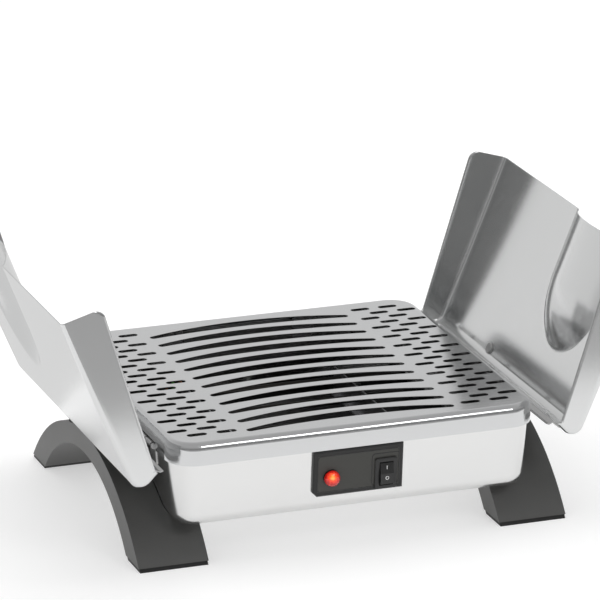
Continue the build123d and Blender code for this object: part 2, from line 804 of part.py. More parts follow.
with BuildPart() as indicator_holder:
    with BuildSketch(front_plane.offset(panel_thickness)):
        with Locations(lamp_centre):
            Circle(holder_flange_diameter / 2)
    extrude(amount=holder_flange)
    with BuildSketch(front_plane.offset(panel_thickness)):
        with Locations(lamp_centre):
            Circle(holder_diameter / 2)
    extrude(amount=-holder_length)
    with BuildSketch(front_plane.offset(panel_thickness + holder_flange)):
        with Locations(lamp_centre):
            Circle(holder_bore / 2)
    extrude(amount=-holder_bore_depth, mode=Mode.SUBTRACT)
    with BuildSketch(front_plane.offset(panel_thickness + holder_flange - holder_bore_depth)):
        with Locations(lamp_centre):
            Circle(bulb_diameter / 2)
    extrude(amount=-bulb_socket_depth, mode=Mode.SUBTRACT)
keep(indicator_holder.part, "indicator_holder")

with BuildPart() as indicator_bulb:
    bulb_base = front_plane.offset(panel_thickness + holder_flange - holder_bore_depth - bulb_socket_depth)
    with BuildSketch(bulb_base):
        with Locations(lamp_centre):
            Circle(bulb_diameter / 2)
    extrude(amount=bulb_length)
    fillet(indicator_bulb.faces().sort_by(Axis.Y)[0].edges(), 0.45 * bulb_diameter)
keep(indicator_bulb.part, "indicator_bulb")

with BuildPart() as indicator_lens:
    lens_base = front_plane.offset(panel_thickness + holder_flange)
    with BuildSketch(lens_base):
        with Locations(lamp_centre):
            Circle(lens_diameter / 2)
    extrude(amount=lens_height)
    fillet(indicator_lens.faces().sort_by(Axis.Y)[0].edges(), lens_round)
    with BuildPart(mode=Mode.PRIVATE) as lens_hollow:
        with BuildSketch(lens_base):
            with Locations(lamp_centre):
                Circle(lens_diameter / 2 - lens_wall)
        extrude(amount=lens_height - lens_wall)
        fillet(lens_hollow.faces().sort_by(Axis.Y)[0].edges(), lens_round - lens_wall / 2)
    add(lens_hollow.part, mode=Mode.SUBTRACT)
keep(indicator_lens.part, "indicator_lens")

with BuildPart() as indicator_nut:
    with BuildSketch(front_plane.offset(-pan_sheet)):
        with Locations(lamp_centre):
            RegularPolygon(holder_nut_size / 2, 6, major_radius=False)
        with Locations(lamp_centre):
            Circle(holder_diameter / 2, mode=Mode.SUBTRACT)
    extrude(amount=-holder_nut_height)
keep(indicator_nut.part, "indicator_nut")

# Switch -----------------------------------------------------------------------------------------

bezel_front = panel_thickness + bezel_thickness
rocker_pivot = front_plane.offset(bezel_front - rocker_pivot_depth)
rocker_point = rocker_pivot.from_local_coords(Vector(switch_x, switch_rise, 0))
rocker_lean = radians(pan_draft - rocker_tilt)
side_plane = Plane(
    origin=rocker_point, x_dir=(0, -sin(rocker_lean), cos(rocker_lean)), z_dir=(1, 0, 0)
)
pocket_half_width = rocker_width / 2 + rocker_gap

with BuildPart() as switch_housing:
    with BuildSketch(front_plane.offset(panel_thickness)):
        with Locations(switch_centre):
            RectangleRounded(bezel_width, bezel_height, bezel_corner)
    extrude(amount=bezel_thickness)
    chamfer(switch_housing.faces().sort_by(Axis.Y)[0].edges(), bezel_thickness / 3)
    with BuildSketch(front_plane.offset(panel_thickness)):
        with Locations(switch_centre):
            Rectangle(switch_body_width, switch_body_height)
    extrude(amount=-switch_body_depth)
    with BuildSketch(front_plane.offset(bezel_front)):
        with Locations(switch_centre):
            Rectangle(2 * pocket_half_width, 2 * (rocker_half_height + rocker_gap))
    extrude(amount=-rocker_pocket_depth, mode=Mode.SUBTRACT)
    with BuildSketch(side_plane):
        Circle(trunnion_diameter / 2 + trunnion_clearance)
    extrude(amount=pocket_half_width + trunnion_length, both=True, mode=Mode.SUBTRACT)
keep(switch_housing.part, "switch_housing")

with BuildPart() as rocker_button:
    with BuildSketch(side_plane):
        Circle(rocker_half_height)
        with BuildLine():
            Polyline(
                (-2 * rocker_half_height, -rocker_back),
                (2 * rocker_half_height, -rocker_back),
                (2 * rocker_half_height, 2 * rocker_tip - rocker_peak),
                (0, rocker_peak),
                (-2 * rocker_half_height, 2 * rocker_tip - rocker_peak),
                close=True,
            )
        make_face(mode=Mode.INTERSECT)
    extrude(amount=rocker_width / 2, both=True)
    with BuildSketch(side_plane):
        Circle(trunnion_diameter / 2)
    extrude(amount=rocker_width / 2 + trunnion_length, both=True)
keep(rocker_button.part, "rocker_button")

with BuildPart() as switch_terminals:
    with BuildSketch(front_plane.offset(panel_thickness - switch_body_depth)):
        with Locations([(switch_x, switch_rise + rise) for rise in switch_terminal_rises]):
            Rectangle(switch_terminal_width, switch_terminal_thickness)
    extrude(amount=-switch_terminal_length)
keep(switch_terminals.part, "switch_terminals")

# Reflector and heating element --------------------------------------------------------------------

tray_top = reflector_z + reflector_sheet

with BuildPart() as reflector_tray:
    with BuildSketch(Plane.XY.offset(reflector_z)):
        RectangleRounded(reflector_width, reflector_depth, reflector_corner)
    extrude(amount=reflector_lip)
    with BuildSketch(Plane.XY.offset(tray_top)):
        RectangleRounded(
            reflector_width - 2 * reflector_sheet,
            reflector_depth - 2 * reflector_sheet,
            reflector_corner - reflector_sheet,
        )
    extrude(amount=reflector_lip, mode=Mode.SUBTRACT)
    with BuildSketch(Plane.XY.offset(reflector_z)):
        with Locations(post_places):
            Circle(post_screw_diameter / 2)
    extrude(amount=reflector_sheet, mode=Mode.SUBTRACT)
keep(reflector_tray.part, "reflector_tray")

with BuildPart() as reflector_posts:
    with BuildSketch(Plane.XY.offset(pan_floor)):
        with Locations(post_places):
            Circle(post_diameter / 2)
    extrude(amount=reflector_z - pan_floor)
    with BuildSketch(Plane.XY.offset(reflector_z)):
        with Locations(post_places):
            Circle(post_screw_diameter / 2)
    extrude(amount=-post_screw_length, mode=Mode.SUBTRACT)
keep(reflector_posts.part, "reflector_posts")

with BuildPart() as reflector_screws:
    with BuildSketch(Plane.XY.offset(reflector_z - post_screw_length)):
        with Locations(post_places):
            Circle(post_screw_diameter / 2)
    extrude(amount=post_screw_length + reflector_sheet)
    with BuildSketch(Plane.XY.offset(tray_top)):
        with Locations(post_places):
            Circle(post_screw_head / 2)
    extrude(amount=post_screw_head_height)
keep(reflector_screws.part, "reflector_screws")

element_rows = [(row - 1.5) * element_pitch for row in range(4)]
lead_tip_x = -element_half_run - element_lead

turn_x = element_half_run + element_pitch / 2

with BuildPart() as heating_element:
    with BuildLine():
        Line((lead_tip_x, element_rows[0], element_z), (element_half_run, element_rows[0], element_z))
        for row, side in ((0, 1), (1, -1), (2, 1)):
            ThreePointArc(
                (side * element_half_run, element_rows[row], element_z),
                (side * turn_x, (element_rows[row] + element_rows[row + 1]) / 2, element_z),
                (side * element_half_run, element_rows[row + 1], element_z),
            )
        for y in element_rows[1:3]:
            Line((-element_half_run, y, element_z), (element_half_run, y, element_z))
        Line((element_half_run, element_rows[3], element_z), (lead_tip_x, element_rows[3], element_z))
    with BuildSketch(Plane(origin=(lead_tip_x, element_rows[0], element_z), z_dir=(1, 0, 0))):
        Circle(element_diameter / 2)
    sweep()
keep(heating_element.part, "heating_element")

with BuildPart() as element_brackets:
    bracket_top = element_z + element_diameter / 2 + element_bracket_rise
    with BuildSketch(Plane.XY.offset(tray_top)):
        with Locations((-element_bracket_x, 0), (element_bracket_x, 0)):
            Rectangle(element_bracket_sheet, 2 * element_bracket_half_length)
    extrude(amount=bracket_top - tray_top)
    with BuildSketch(Plane.XY.offset(tray_top)):
        with Locations((-element_bracket_x, 0), (element_bracket_x, 0)):
            Rectangle(element_bracket_foot, 2 * element_bracket_half_length)
    extrude(amount=element_bracket_sheet)
    with BuildSketch(Plane.YZ.offset(-element_half_run)):
        with Locations([(y, element_z) for y in element_rows]):
            Circle(element_diameter / 2)
    extrude(amount=2 * element_half_run, mode=Mode.SUBTRACT)
keep(element_brackets.part, "element_brackets")

# Thermostat, thermal fuse, terminal block and earth stud ------------------------------------------

with BuildPart() as thermostat:
    with BuildSketch(Plane.XY.offset(reflector_z - thermostat_height)):
        Circle(thermostat_diameter / 2)
    extrude(amount=thermostat_height)
    with Locations((0, 0, wire_high_z)):
        Box(thermostat_diameter + 2 * thermostat_tab[0], thermostat_tab[1], thermostat_tab[2])
keep(thermostat.part, "thermostat")

with BuildPart() as thermal_fuse:
    with BuildSketch(Plane.YZ.offset(fuse_centre[0] - fuse_length / 2)):
        with Locations((fuse_centre[1], reflector_z - fuse_diameter / 2)):
            Circle(fuse_diameter / 2)
    extrude(amount=fuse_length)
keep(thermal_fuse.part, "thermal_fuse")

block_width, block_depth, block_height = terminal_block_size
with BuildPart() as terminal_block:
    with Locations((*terminal_block_centre, pan_floor + block_height / 2)):
        Box(*terminal_block_size)
    with BuildSketch(Plane.XY.offset(pan_floor + block_height)):
        with Locations(terminal_block_centre):
            with GridLocations(block_width / 3, block_depth / 2, 3, 2):
                Circle(terminal_screw_diameter / 2)
    extrude(amount=-terminal_screw_depth, mode=Mode.SUBTRACT)
keep(terminal_block.part, "terminal_block")

with BuildPart() as earth_stud:
    with BuildSketch(Plane.XY.offset(pan_bottom)):
        with Locations(earth_stud_centre):
            Circle(earth_stud_diameter / 2)
    extrude(amount=earth_stud_length)
keep(earth_stud.part, "earth_stud")

earth_tab_z = wire_low_z - earth_tab_thickness / 2
earth_y = earth_stud_centre[1]
barrel_tip_x = earth_stud_centre[0] + earth_tab_diameter / 2 - earth_barrel_lap + earth_barrel
with BuildPart() as earth_tab:
    with BuildSketch(Plane.XY.offset(earth_tab_z)):
        with Locations(earth_stud_centre):
            Circle(earth_tab_diameter / 2)
    extrude(amount=earth_tab_thickness)
    with Locations((barrel_tip_x - earth_barrel / 2, earth_y, wire_low_z)):
        Box(earth_barrel, earth_barrel, earth_barrel - earth_tab_thickness)
    with BuildSketch(Plane.XY.offset(earth_tab_z)):
        with Locations(earth_stud_centre):
            Circle(earth_stud_diameter / 2)
    extrude(amount=earth_tab_thickness, mode=Mode.SUBTRACT)
keep(earth_tab.part, "earth_tab")

with BuildPart() as earth_nuts:
    for bottom, top in ((pan_floor, earth_tab_z), (earth_tab_z + earth_tab_thickness, earth_nut_top)):
        with BuildSketch(Plane.XY.offset(bottom)):
            with Locations(earth_stud_centre):
                RegularPolygon(earth_nut_size / 2, 6, major_radius=False)
            with Locations(earth_stud_centre):
                Circle(earth_stud_diameter / 2, mode=Mode.SUBTRACT)
        extrude(amount=top - bottom)
keep(earth_nuts.part, "earth_nuts")

# Mains inlet ------------------------------------------------------------------------------------

pin_places = [(-pin_pitch, -pin_rise), (0, pin_rise), (pin_pitch, -pin_rise)]

with BuildPart() as mains_inlet:
    with BuildSketch(back_plane):
        RectangleRounded(inlet_flange_width, inlet_flange_height, inlet_corner)
    extrude(amount=inlet_flange_thickness)
    with BuildSketch(back_plane):
        Rectangle(inlet_body_width, inlet_body_height)
    extrude(amount=-inlet_body_depth)
    with BuildSketch(back_plane.offset(inlet_flange_thickness)):
        Rectangle(inlet_cavity_width, inlet_cavity_height)
    extrude(amount=-inlet_cavity_depth, mode=Mode.SUBTRACT)
    with BuildSketch(back_plane.offset(inlet_flange_thickness)):
        with Locations(inlet_screw_places):
            Circle(inlet_screw_diameter / 2)
    extrude(amount=-inlet_flange_thickness, mode=Mode.SUBTRACT)
    with BuildSketch(back_plane):
        with Locations(pin_places):
            Rectangle(pin_thickness, pin_width)
    extrude(amount=-inlet_body_depth, mode=Mode.SUBTRACT)
keep(mains_inlet.part, "mains_inlet")

pin_length = pin_out + inlet_body_depth + inlet_flange_thickness - inlet_cavity_depth + pin_tail
with BuildPart() as inlet_pins:
    with BuildSketch(back_plane.offset(-inlet_body_depth - pin_tail)):
        with Locations(pin_places):
            Rectangle(pin_thickness, pin_width)
    extrude(amount=pin_length)
keep(inlet_pins.part, "inlet_pins")

with BuildPart() as inlet_screws:
    with BuildSketch(back_plane.offset(inlet_flange_thickness)):
        with Locations(inlet_screw_places):
            Circle(inlet_screw_diameter / 2)
    extrude(amount=-inlet_screw_length)
    with BuildSketch(back_plane.offset(inlet_flange_thickness)):
        with Locations(inlet_screw_places):
            Circle(inlet_screw_head / 2)
    extrude(amount=inlet_screw_head_height)
keep(inlet_screws.part, "inlet_screws")

with BuildPart() as inlet_nuts:
    with BuildSketch(back_plane.offset(-pan_sheet)):
        with Locations(inlet_screw_places):
            RegularPolygon(nut_size / 2, 6, major_radius=False)
        with Locations(inlet_screw_places):
            Circle(inlet_screw_diameter / 2, mode=Mode.SUBTRACT)
    extrude(amount=-inlet_nut_height)
keep(inlet_nuts.part, "inlet_nuts")

# Wires ------------------------------------------------------------------------------------------


def square_z(end, y):
    """Height at y of a run that leaves a fitting on the slanted front or back wall squarely."""
    return end.Z + abs(end.Y - y) * tan(radians(pan_draft))


def wire(*points):
    """Round wire through the points with bent corners; both ends are square to the run."""
    with BuildPart() as strand:
        with BuildLine():
            run = FilletPolyline(*points, radius=wire_bend)
        with BuildSketch(Plane(origin=run @ 0, z_dir=run % 0)):
            Circle(wire_diameter / 2)
        sweep()
    return strand.part


pin_ends = [
    back_plane.offset(-inlet_body_depth - pin_tail).from_local_coords(Vector(x, y, 0))
    for x, y in pin_places
]
block_front = terminal_block_centre[1] - block_depth / 2
block_left = terminal_block_centre[0] - block_width / 2
block_right = terminal_block_centre[0] + block_width / 2
heater_end = lead_tip_x - wire_lead
tab_x = thermostat_diameter / 2 + thermostat_tab[0]
fuse_left = fuse_centre[0] - fuse_length / 2
fuse_right = fuse_centre[0] + fuse_length / 2


# Mains inlet to the terminal block, and its earth to the stud on the pan floor
live_end, earth_end, neutral_end = sorted(pin_ends, key=lambda end: end.X)
with BuildPart() as mains_wires:
    for pin_end, low_z in ((live_end, wire_low_z), (neutral_end, wire_mid_z)):
        add(
            wire(
                pin_end,
                (pin_end.X, wire_drop_y, square_z(pin_end, wire_drop_y)),
                (pin_end.X, wire_drop_y, low_z),
                (block_left, wire_drop_y, low_z),
            )
        )
keep(mains_wires.part, "mains_wires")

keep(
    wire(
        earth_end,
        (earth_end.X, earth_y, square_z(earth_end, earth_y)),
        (earth_end.X, earth_y, wire_low_z),
        (barrel_tip_x, earth_y, wire_low_z),
    ),
    "earth_wire",
)

# Terminal block to the switch, under the reflector and up in front of it
terminal_plane = front_plane.offset(panel_thickness - switch_body_depth - switch_terminal_length)
with BuildPart() as switch_wires:
    for start_x, turn_y, run_x, rise in switch_wire_runs:
        end = terminal_plane.from_local_coords(Vector(run_x, switch_rise + rise, 0))
        add(
            wire(
                (start_x, block_front, wire_low_z),
                (start_x, turn_y, wire_low_z),
                (run_x, turn_y, wire_low_z),
                (run_x, -wire_drop_y, wire_low_z),
                (run_x, -wire_drop_y, square_z(end, -wire_drop_y)),
                end,
            )
        )
keep(switch_wires.part, "switch_wires")

# Heating element, thermal fuse and thermostat
with BuildPart() as heater_wires:
    add(
        wire(
            (lead_tip_x, element_rows[3], element_z),
            (heater_end, element_rows[3], element_z),
            (heater_end, element_rows[3], wire_low_z),
            (fuse_wire_x, element_rows[3], wire_low_z),
            (fuse_wire_x, fuse_centre[1], wire_low_z),
            (fuse_wire_x, fuse_centre[1], wire_high_z),
            (fuse_left, fuse_centre[1], wire_high_z),
        )
    )
    add(
        wire(
            (fuse_right, fuse_centre[1], wire_high_z),
            (-tab_x - 2 * wire_bend, fuse_centre[1], wire_high_z),
            (-tab_x - 2 * wire_bend, 0, wire_high_z),
            (-tab_x, 0, wire_high_z),
        )
    )
    add(
        wire(
            (tab_x, 0, wire_high_z),
            (tab_x + 2 * wire_bend, 0, wire_high_z),
            (tab_x + 2 * wire_bend, terminal_block_centre[1], wire_high_z),
            (tab_x + 2 * wire_bend, terminal_block_centre[1], wire_low_z),
            (block_right, terminal_block_centre[1], wire_low_z),
        )
    )
    add(
        wire(
            (lead_tip_x, element_rows[0], element_z),
            (heater_end, element_rows[0], element_z),
            (heater_end, element_rows[0], wire_low_z),
            (heater_return_x, element_rows[0], wire_low_z),
            (heater_return_x, block_front, wire_low_z),
        )
    )
keep(heater_wires.part, "heater_wires")

# Terminal block to the indicator
holder_tip = front_plane.offset(panel_thickness - holder_length)
lamp_end = holder_tip.from_local_coords(Vector(lamp_x, lamp_rise, 0))
keep(
    wire(
        (lamp_x, block_front, wire_mid_z),
        (lamp_x, -wire_drop_y, wire_mid_z),
        (lamp_x, -wire_drop_y, square_z(lamp_end, -wire_drop_y)),
        lamp_end,
    ),
    "lamp_wire",
)
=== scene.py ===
"""Tabletop plate warmer: finishes, pressed lids, fittings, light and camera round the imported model."""

import logging
import math
from dataclasses import dataclass, field
from enum import Enum

import bpy
from mathutils import Matrix, Vector


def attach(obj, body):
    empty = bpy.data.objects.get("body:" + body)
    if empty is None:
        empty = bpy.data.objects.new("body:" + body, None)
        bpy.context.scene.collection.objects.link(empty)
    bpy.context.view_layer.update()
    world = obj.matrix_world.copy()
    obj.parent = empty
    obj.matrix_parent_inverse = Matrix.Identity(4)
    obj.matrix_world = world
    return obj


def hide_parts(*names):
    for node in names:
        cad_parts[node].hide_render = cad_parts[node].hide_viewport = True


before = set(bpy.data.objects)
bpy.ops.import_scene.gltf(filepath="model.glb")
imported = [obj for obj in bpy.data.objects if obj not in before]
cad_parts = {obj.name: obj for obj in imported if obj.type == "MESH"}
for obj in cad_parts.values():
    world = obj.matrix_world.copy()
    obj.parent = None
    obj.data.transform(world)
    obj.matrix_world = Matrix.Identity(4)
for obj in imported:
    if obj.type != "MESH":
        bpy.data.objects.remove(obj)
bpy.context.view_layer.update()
LOG = logging.getLogger("plate_warmer")
Point = tuple[float, float, float]
Colour = tuple[float, float, float]
Stops = tuple[tuple[float, Colour], ...]
Levels = tuple[tuple[float, float], ...]
MM = 0.001
MEAN_NOISE = 0.5
# A Mix node's sockets in its colour form go by number, because their names repeat.
MIX_COLOURS = (6, 7)
MIX_RESULT = 2


class Side(Enum):
    """Which wing of the warmer a piece belongs to."""

    RIGHT = 1
    LEFT = -1


class Grain(Enum):
    """Direction in which a sheet's fine brushing runs, as a stretch of its coordinates."""

    ALONG_X = (0.03, 1.0, 1.0)
    ALONG_Y = (1.0, 0.03, 1.0)
    ALONG_Z = (1.0, 1.0, 0.03)


class Signal:
    """A number that travels on a material's wires; arithmetic on it adds Math nodes."""

    def __init__(self, graph: "Graph", socket: bpy.types.NodeSocket) -> None:
        """Wrap an output socket of a graph that carries a number."""
        self.graph = graph
        self.socket = socket

    def _math(self, operation: str, first: "Number", second: "Number") -> "Signal":
        """Result of a Math node on two values or signals."""
        return self.graph.signal("ShaderNodeMath", {"operation": operation}, {0: first, 1: second})

    def __add__(self, other: "Number") -> "Signal":
        """Sum of two numbers."""
        return self._math("ADD", self, other)

    def __radd__(self, other: "Number") -> "Signal":
        """Sum with a plain number on the left."""
        return self._math("ADD", other, self)

    def __sub__(self, other: "Number") -> "Signal":
        """Difference of two numbers."""
        return self._math("SUBTRACT", self, other)

    def __rsub__(self, other: "Number") -> "Signal":
        """Difference with a plain number on the left."""
        return self._math("SUBTRACT", other, self)

    def __mul__(self, other: "Number") -> "Signal":
        """Product of two numbers."""
        return self._math("MULTIPLY", self, other)

    def __rmul__(self, other: "Number") -> "Signal":
        """Product with a plain number on the left."""
        return self._math("MULTIPLY", other, self)

    def __truediv__(self, other: "Number") -> "Signal":
        """Quotient of two numbers."""
        return self._math("DIVIDE", self, other)

    def __rtruediv__(self, other: "Number") -> "Signal":
        """Quotient with a plain number on the left."""
        return self._math("DIVIDE", other, self)

    def above(self, limit: float) -> "Signal":
        """One where the number is over the limit, else nought."""
        return self._math("GREATER_THAN", self, limit)


Number = float | Signal


class Graph:
    """A node tree, with one way to add nodes to it."""

    def __init__(self, tree: bpy.types.NodeTree) -> None:
        """Take a material's or the world's node tree."""
        self.tree = tree

    def node(self, kind: str, settings: dict[str, object], inputs: dict) -> bpy.types.Node:
        """Add a node.

        Args:
            kind: the node's type.
            settings: properties that are set before the sockets, with a ramp's stops among them.
            inputs: values or links of its sockets, by name or number.

        Returns:
            The new node.
        """
        made = self.tree.nodes.new(kind)
        for name, value in settings.items():
            if name == "stops":
                self._set_stops(made, value)
            else:
                setattr(made, name, value)
        for name, value in inputs.items():
            self.feed(made.inputs[name], value)
        return made

    def _set_stops(self, ramp: bpy.types.Node, stops: Stops) -> None:
        """Write a colour ramp's stops.

        Args:
            ramp: a Color Ramp node.
            stops: position and colour of each stop.
        """
        elements = ramp.color_ramp.elements
        while len(elements) < len(stops):
            elements.new(1.0)
        for element, (position, colour) in zip(elements, stops):
            element.position = position
            element.color = (*colour, 1.0)

    def feed(self, socket: bpy.types.NodeSocket, value: object) -> None:
        """Link a signal or socket to a socket, or set a plain value on it.

        Args:
            socket: the input socket.
            value: a signal, an output socket, a number, a vector or a colour.
        """
        if isinstance(value, Signal):
            value = value.socket
        if isinstance(value, bpy.types.NodeSocket):
            self.tree.links.new(value, socket)
        elif socket.type == "RGBA":
            socket.default_value = (*value, 1.0)
        else:
            socket.default_value = value

    def signal(
        self, kind: str, settings: dict[str, object], inputs: dict, output: str | int = 0
    ) -> Signal:
        """Add a node, as the method node does, and give one of its outputs as a signal."""
        return Signal(self, self.node(kind, settings, inputs).outputs[output])

    def axis(self, vector: bpy.types.NodeSocket, letter: str) -> Signal:
        """One axis of a vector."""
        return self.signal("ShaderNodeSeparateXYZ", {}, {0: vector}, letter)

    def noise(self, vector: bpy.types.NodeSocket, scale: float, detail: float) -> Signal:
        """Cloudy noise from nought to one, in cells per metre and with a number of finer layers."""
        sizes = {"Vector": vector, "Scale": scale, "Detail": detail}
        return self.signal("ShaderNodeTexNoise", {}, sizes)

    def ramp(self, share: Signal, stops: Stops) -> bpy.types.NodeSocket:
        """Colour along a row of stops."""
        return self.node("ShaderNodeValToRGB", {"stops": stops}, {"Fac": share}).outputs["Color"]

    def greys(self, share: Signal, levels: Levels) -> bpy.types.NodeSocket:
        """Grey along a row of positions, each with its level."""
        return self.ramp(share, tuple((position, (level,) * 3) for position, level in levels))

    def blend(
        self,
        share: Number,
        low: Colour | bpy.types.NodeSocket,
        high: Colour | bpy.types.NodeSocket,
    ) -> bpy.types.NodeSocket:
        """Colour between two, by a share.

        Args:
            share: nought gives the first colour and one the second.
            low: first colour.
            high: second colour.

        Returns:
            A colour socket.
        """
        mix = self.node("ShaderNodeMix", {"data_type": "RGBA"}, {"Factor": share})
        for number, colour in zip(MIX_COLOURS, (low, high)):
            self.feed(mix.inputs[number], colour)
        return mix.outputs[MIX_RESULT]


class Surface(Graph):
    """The node graph of one material, with its Principled shader at hand."""

    def __init__(self, name: str) -> None:
        """Make an empty material.

        Args:
            name: the material's name.
        """
        self.material = bpy.data.materials.new(name)
        self.material.use_nodes = True
        super().__init__(self.material.node_tree)
        self.shader = self.tree.nodes["Principled BSDF"]
        self.place = self.signal("ShaderNodeTexCoord", {}, {}, "Object").socket

    def stretched(self, stretch: Point) -> bpy.types.NodeSocket:
        """Object coordinates, stretched along each axis."""
        return self.signal("ShaderNodeMapping", {}, {"Vector": self.place, "Scale": stretch}).socket

    def bump(self, height: Number, depth: float, strength: float = 1.0) -> None:
        """Feed the shader's normal from a height, where depth is a full step in metres."""
        sizes = {"Height": height, "Distance": depth, "Strength": strength}
        self.feed(self.shader.inputs["Normal"], self.signal("ShaderNodeBump", {}, sizes))

    def dress(self, **values: object) -> bpy.types.Material:
        """Set the shader's sockets.

        Args:
            values: plain values, signals or sockets, with underscores for the spaces in names.

        Returns:
            The finished material.
        """
        for name, value in values.items():
            self.feed(self.shader.inputs[name.replace("_", " ")], value)
        return self.material


@dataclass(frozen=True)
class Steel:
    """Rolled or polished sheet steel with fine brushing, rolling waves and faint finger marks.

    In every finish a scale is in cells per metre and a depth in metres, a share says how far a
    pattern swings the roughness, and a tone how far it shows in the colour.
    """

    name: str
    tint: Colour
    roughness: float
    grain: Grain
    grain_scale: float = 2600.0
    grain_depth: float = 1.5e-6
    grain_share: float = 0.06
    grain_tone: float = 0.6
    wave_scale: float = 7.0
    wave_depth: float = 1.2e-4
    smear_scale: float = 22.0
    smear_middle: float = 0.45
    smear_share: float = 0.05
    smear_tone: float = 0.3
    shade: float = 0.88

    def material(self) -> bpy.types.Material:
        """Build the finish.

        Returns:
            The material.
        """
        graph = Surface(self.name)
        lines = graph.noise(graph.stretched(self.grain.value), self.grain_scale, detail=2.0)
        smears = graph.noise(graph.place, self.smear_scale, detail=4.0)
        waves = graph.noise(graph.place, self.wave_scale, detail=1.0)
        graph.bump(lines * (self.grain_depth / self.wave_depth) + waves, self.wave_depth)
        tone = lines * self.grain_tone + smears * self.smear_tone
        brushed = self.roughness + (lines - MEAN_NOISE) * self.grain_share
        return graph.dress(
            Base_Color=graph.blend(tone, tuple(self.shade * part for part in self.tint), self.tint),
            Metallic=1.0,
            Roughness=brushed + (smears - self.smear_middle) * self.smear_share,
        )


@dataclass(frozen=True)
class Moulding:
    """Moulded plastic, rubber or sleeve with a spark-eroded grain."""

    name: str
    colour: Colour
    roughness: float
    grain_scale: float = 1500.0
    grain_depth: float = 2.5e-5
    grain_share: float = 0.08
    grain_tone: float = 0.3
    cloud_scale: float = 30.0
    cloud_share: float = 0.1
    cloud_tone: float = 0.7
    wear: float = 0.35
    dust: float = 0.004

    def patches(self, graph: Surface) -> tuple[Signal, Signal]:
        """Fine grain and broad clouds."""
        grain = graph.noise(graph.place, self.grain_scale, detail=2.0)
        return grain, graph.noise(graph.place, self.cloud_scale, detail=3.0)

    def gloss(self, grain: Signal, cloud: Signal) -> Signal:
        """Roughness, made uneven by the grain and the clouds."""
        clouded = self.roughness + (cloud - MEAN_NOISE) * self.cloud_share
        return clouded + (grain - MEAN_NOISE) * self.grain_share

    def material(self) -> bpy.types.Material:
        """Build the finish.

        Returns:
            The material.
        """
        graph = Surface(self.name)
        grain, cloud = self.patches(graph)
        graph.bump(grain, self.grain_depth)
        worn = tuple(min(1.0, part * (1.0 + self.wear) + self.dust) for part in self.colour)
        tone = cloud * self.cloud_tone + grain * self.grain_tone
        return graph.dress(
            Base_Color=graph.blend(tone, self.colour, worn), Roughness=self.gloss(grain, cloud)
        )


@dataclass(frozen=True, kw_only=True)
class BorderedMoulding(Moulding):
    """Grained plastic whose border is left smooth and darker, with its sizes in metres."""

    border: Colour
    middle: Point
    half_width: float
    half_height: float
    border_flatness: float = 0.7
    border_polish: float = 0.12

    def material(self) -> bpy.types.Material:
        """Build the finish.

        Returns:
            The material.
        """
        graph = Surface(self.name)
        grain, cloud = self.patches(graph)
        across = graph.axis(graph.place, "X") - self.middle[0]
        upward = graph.axis(graph.place, "Z") - self.middle[2]
        beside = (across * across).above(self.half_width**2)
        beyond = (upward * upward).above(self.half_height**2)
        rim = (beside + beyond).above(0.5)
        graph.bump(grain * (1.0 - rim * self.border_flatness), self.grain_depth)
        return graph.dress(
            Base_Color=graph.blend(rim, self.colour, self.border),
            Roughness=self.gloss(grain, cloud) - rim * self.border_polish,
        )


@dataclass(frozen=True)
class HeatTint:
    """Steel tube that heat has darkened and browned in bands."""

    name: str
    dark: Colour = (0.02, 0.02, 0.02)
    brown: Colour = (0.06, 0.056, 0.052)
    roughness: float = 0.38
    band_scale: float = 14.0
    crust_scale: float = 900.0
    crust_depth: float = 3e-5
    crust_share: float = 0.2

    def material(self) -> bpy.types.Material:
        """Build the finish.

        Returns:
            The material.
        """
        graph = Surface(self.name)
        bands = graph.noise(graph.place, self.band_scale, detail=2.0)
        crust = graph.noise(graph.place, self.crust_scale, detail=3.0)
        graph.bump(crust, self.crust_depth)
        return graph.dress(
            Base_Color=graph.blend(bands, self.dark, self.brown),
            Metallic=1.0,
            Roughness=self.roughness + (crust - MEAN_NOISE) * self.crust_share,
        )


@dataclass(frozen=True)
class GlowingLens:
    """Clear red plastic with cast ribs, lit from behind within reach of a point, in metres."""

    name: str
    centre: Point
    reach: float = 6.2 * MM
    rib_scale: float = 520.0
    rib_depth: float = 3e-4
    rib_strength: float = 0.6
    rib_middle: float = 0.3
    rib_glow: float = 0.25
    deep: Colour = (0.3, 0.004, 0.002)
    clear: Colour = (0.5, 0.012, 0.006)
    glow: Stops = (
        (0.0, (0.12, 0.0006, 0.0004)),
        (0.25, (0.35, 0.004, 0.002)),
        (0.6, (0.85, 0.07, 0.006)),
        (0.9, (1.0, 0.45, 0.08)),
    )

    def material(self) -> bpy.types.Material:
        """Build the finish.

        Returns:
            The material.
        """
        graph = Surface(self.name)
        cells = {"Vector": graph.place, "Scale": self.rib_scale}
        ribs = graph.signal("ShaderNodeTexVoronoi", {}, cells, "Distance")
        ends = {0: graph.place, 1: self.centre}
        away = graph.signal("ShaderNodeVectorMath", {"operation": "DISTANCE"}, ends, "Value")
        graph.bump(ribs, self.rib_depth, self.rib_strength)
        warmth = 1.0 - away / self.reach + (ribs - self.rib_middle) * self.rib_glow
        return graph.dress(
            Base_Color=graph.blend(ribs, self.deep, self.clear),
            Roughness=0.12,
            Emission_Color=graph.ramp(warmth, self.glow),
            Emission_Strength=1.0,
            Coat_Weight=0.5,
            IOR=1.49,
        )


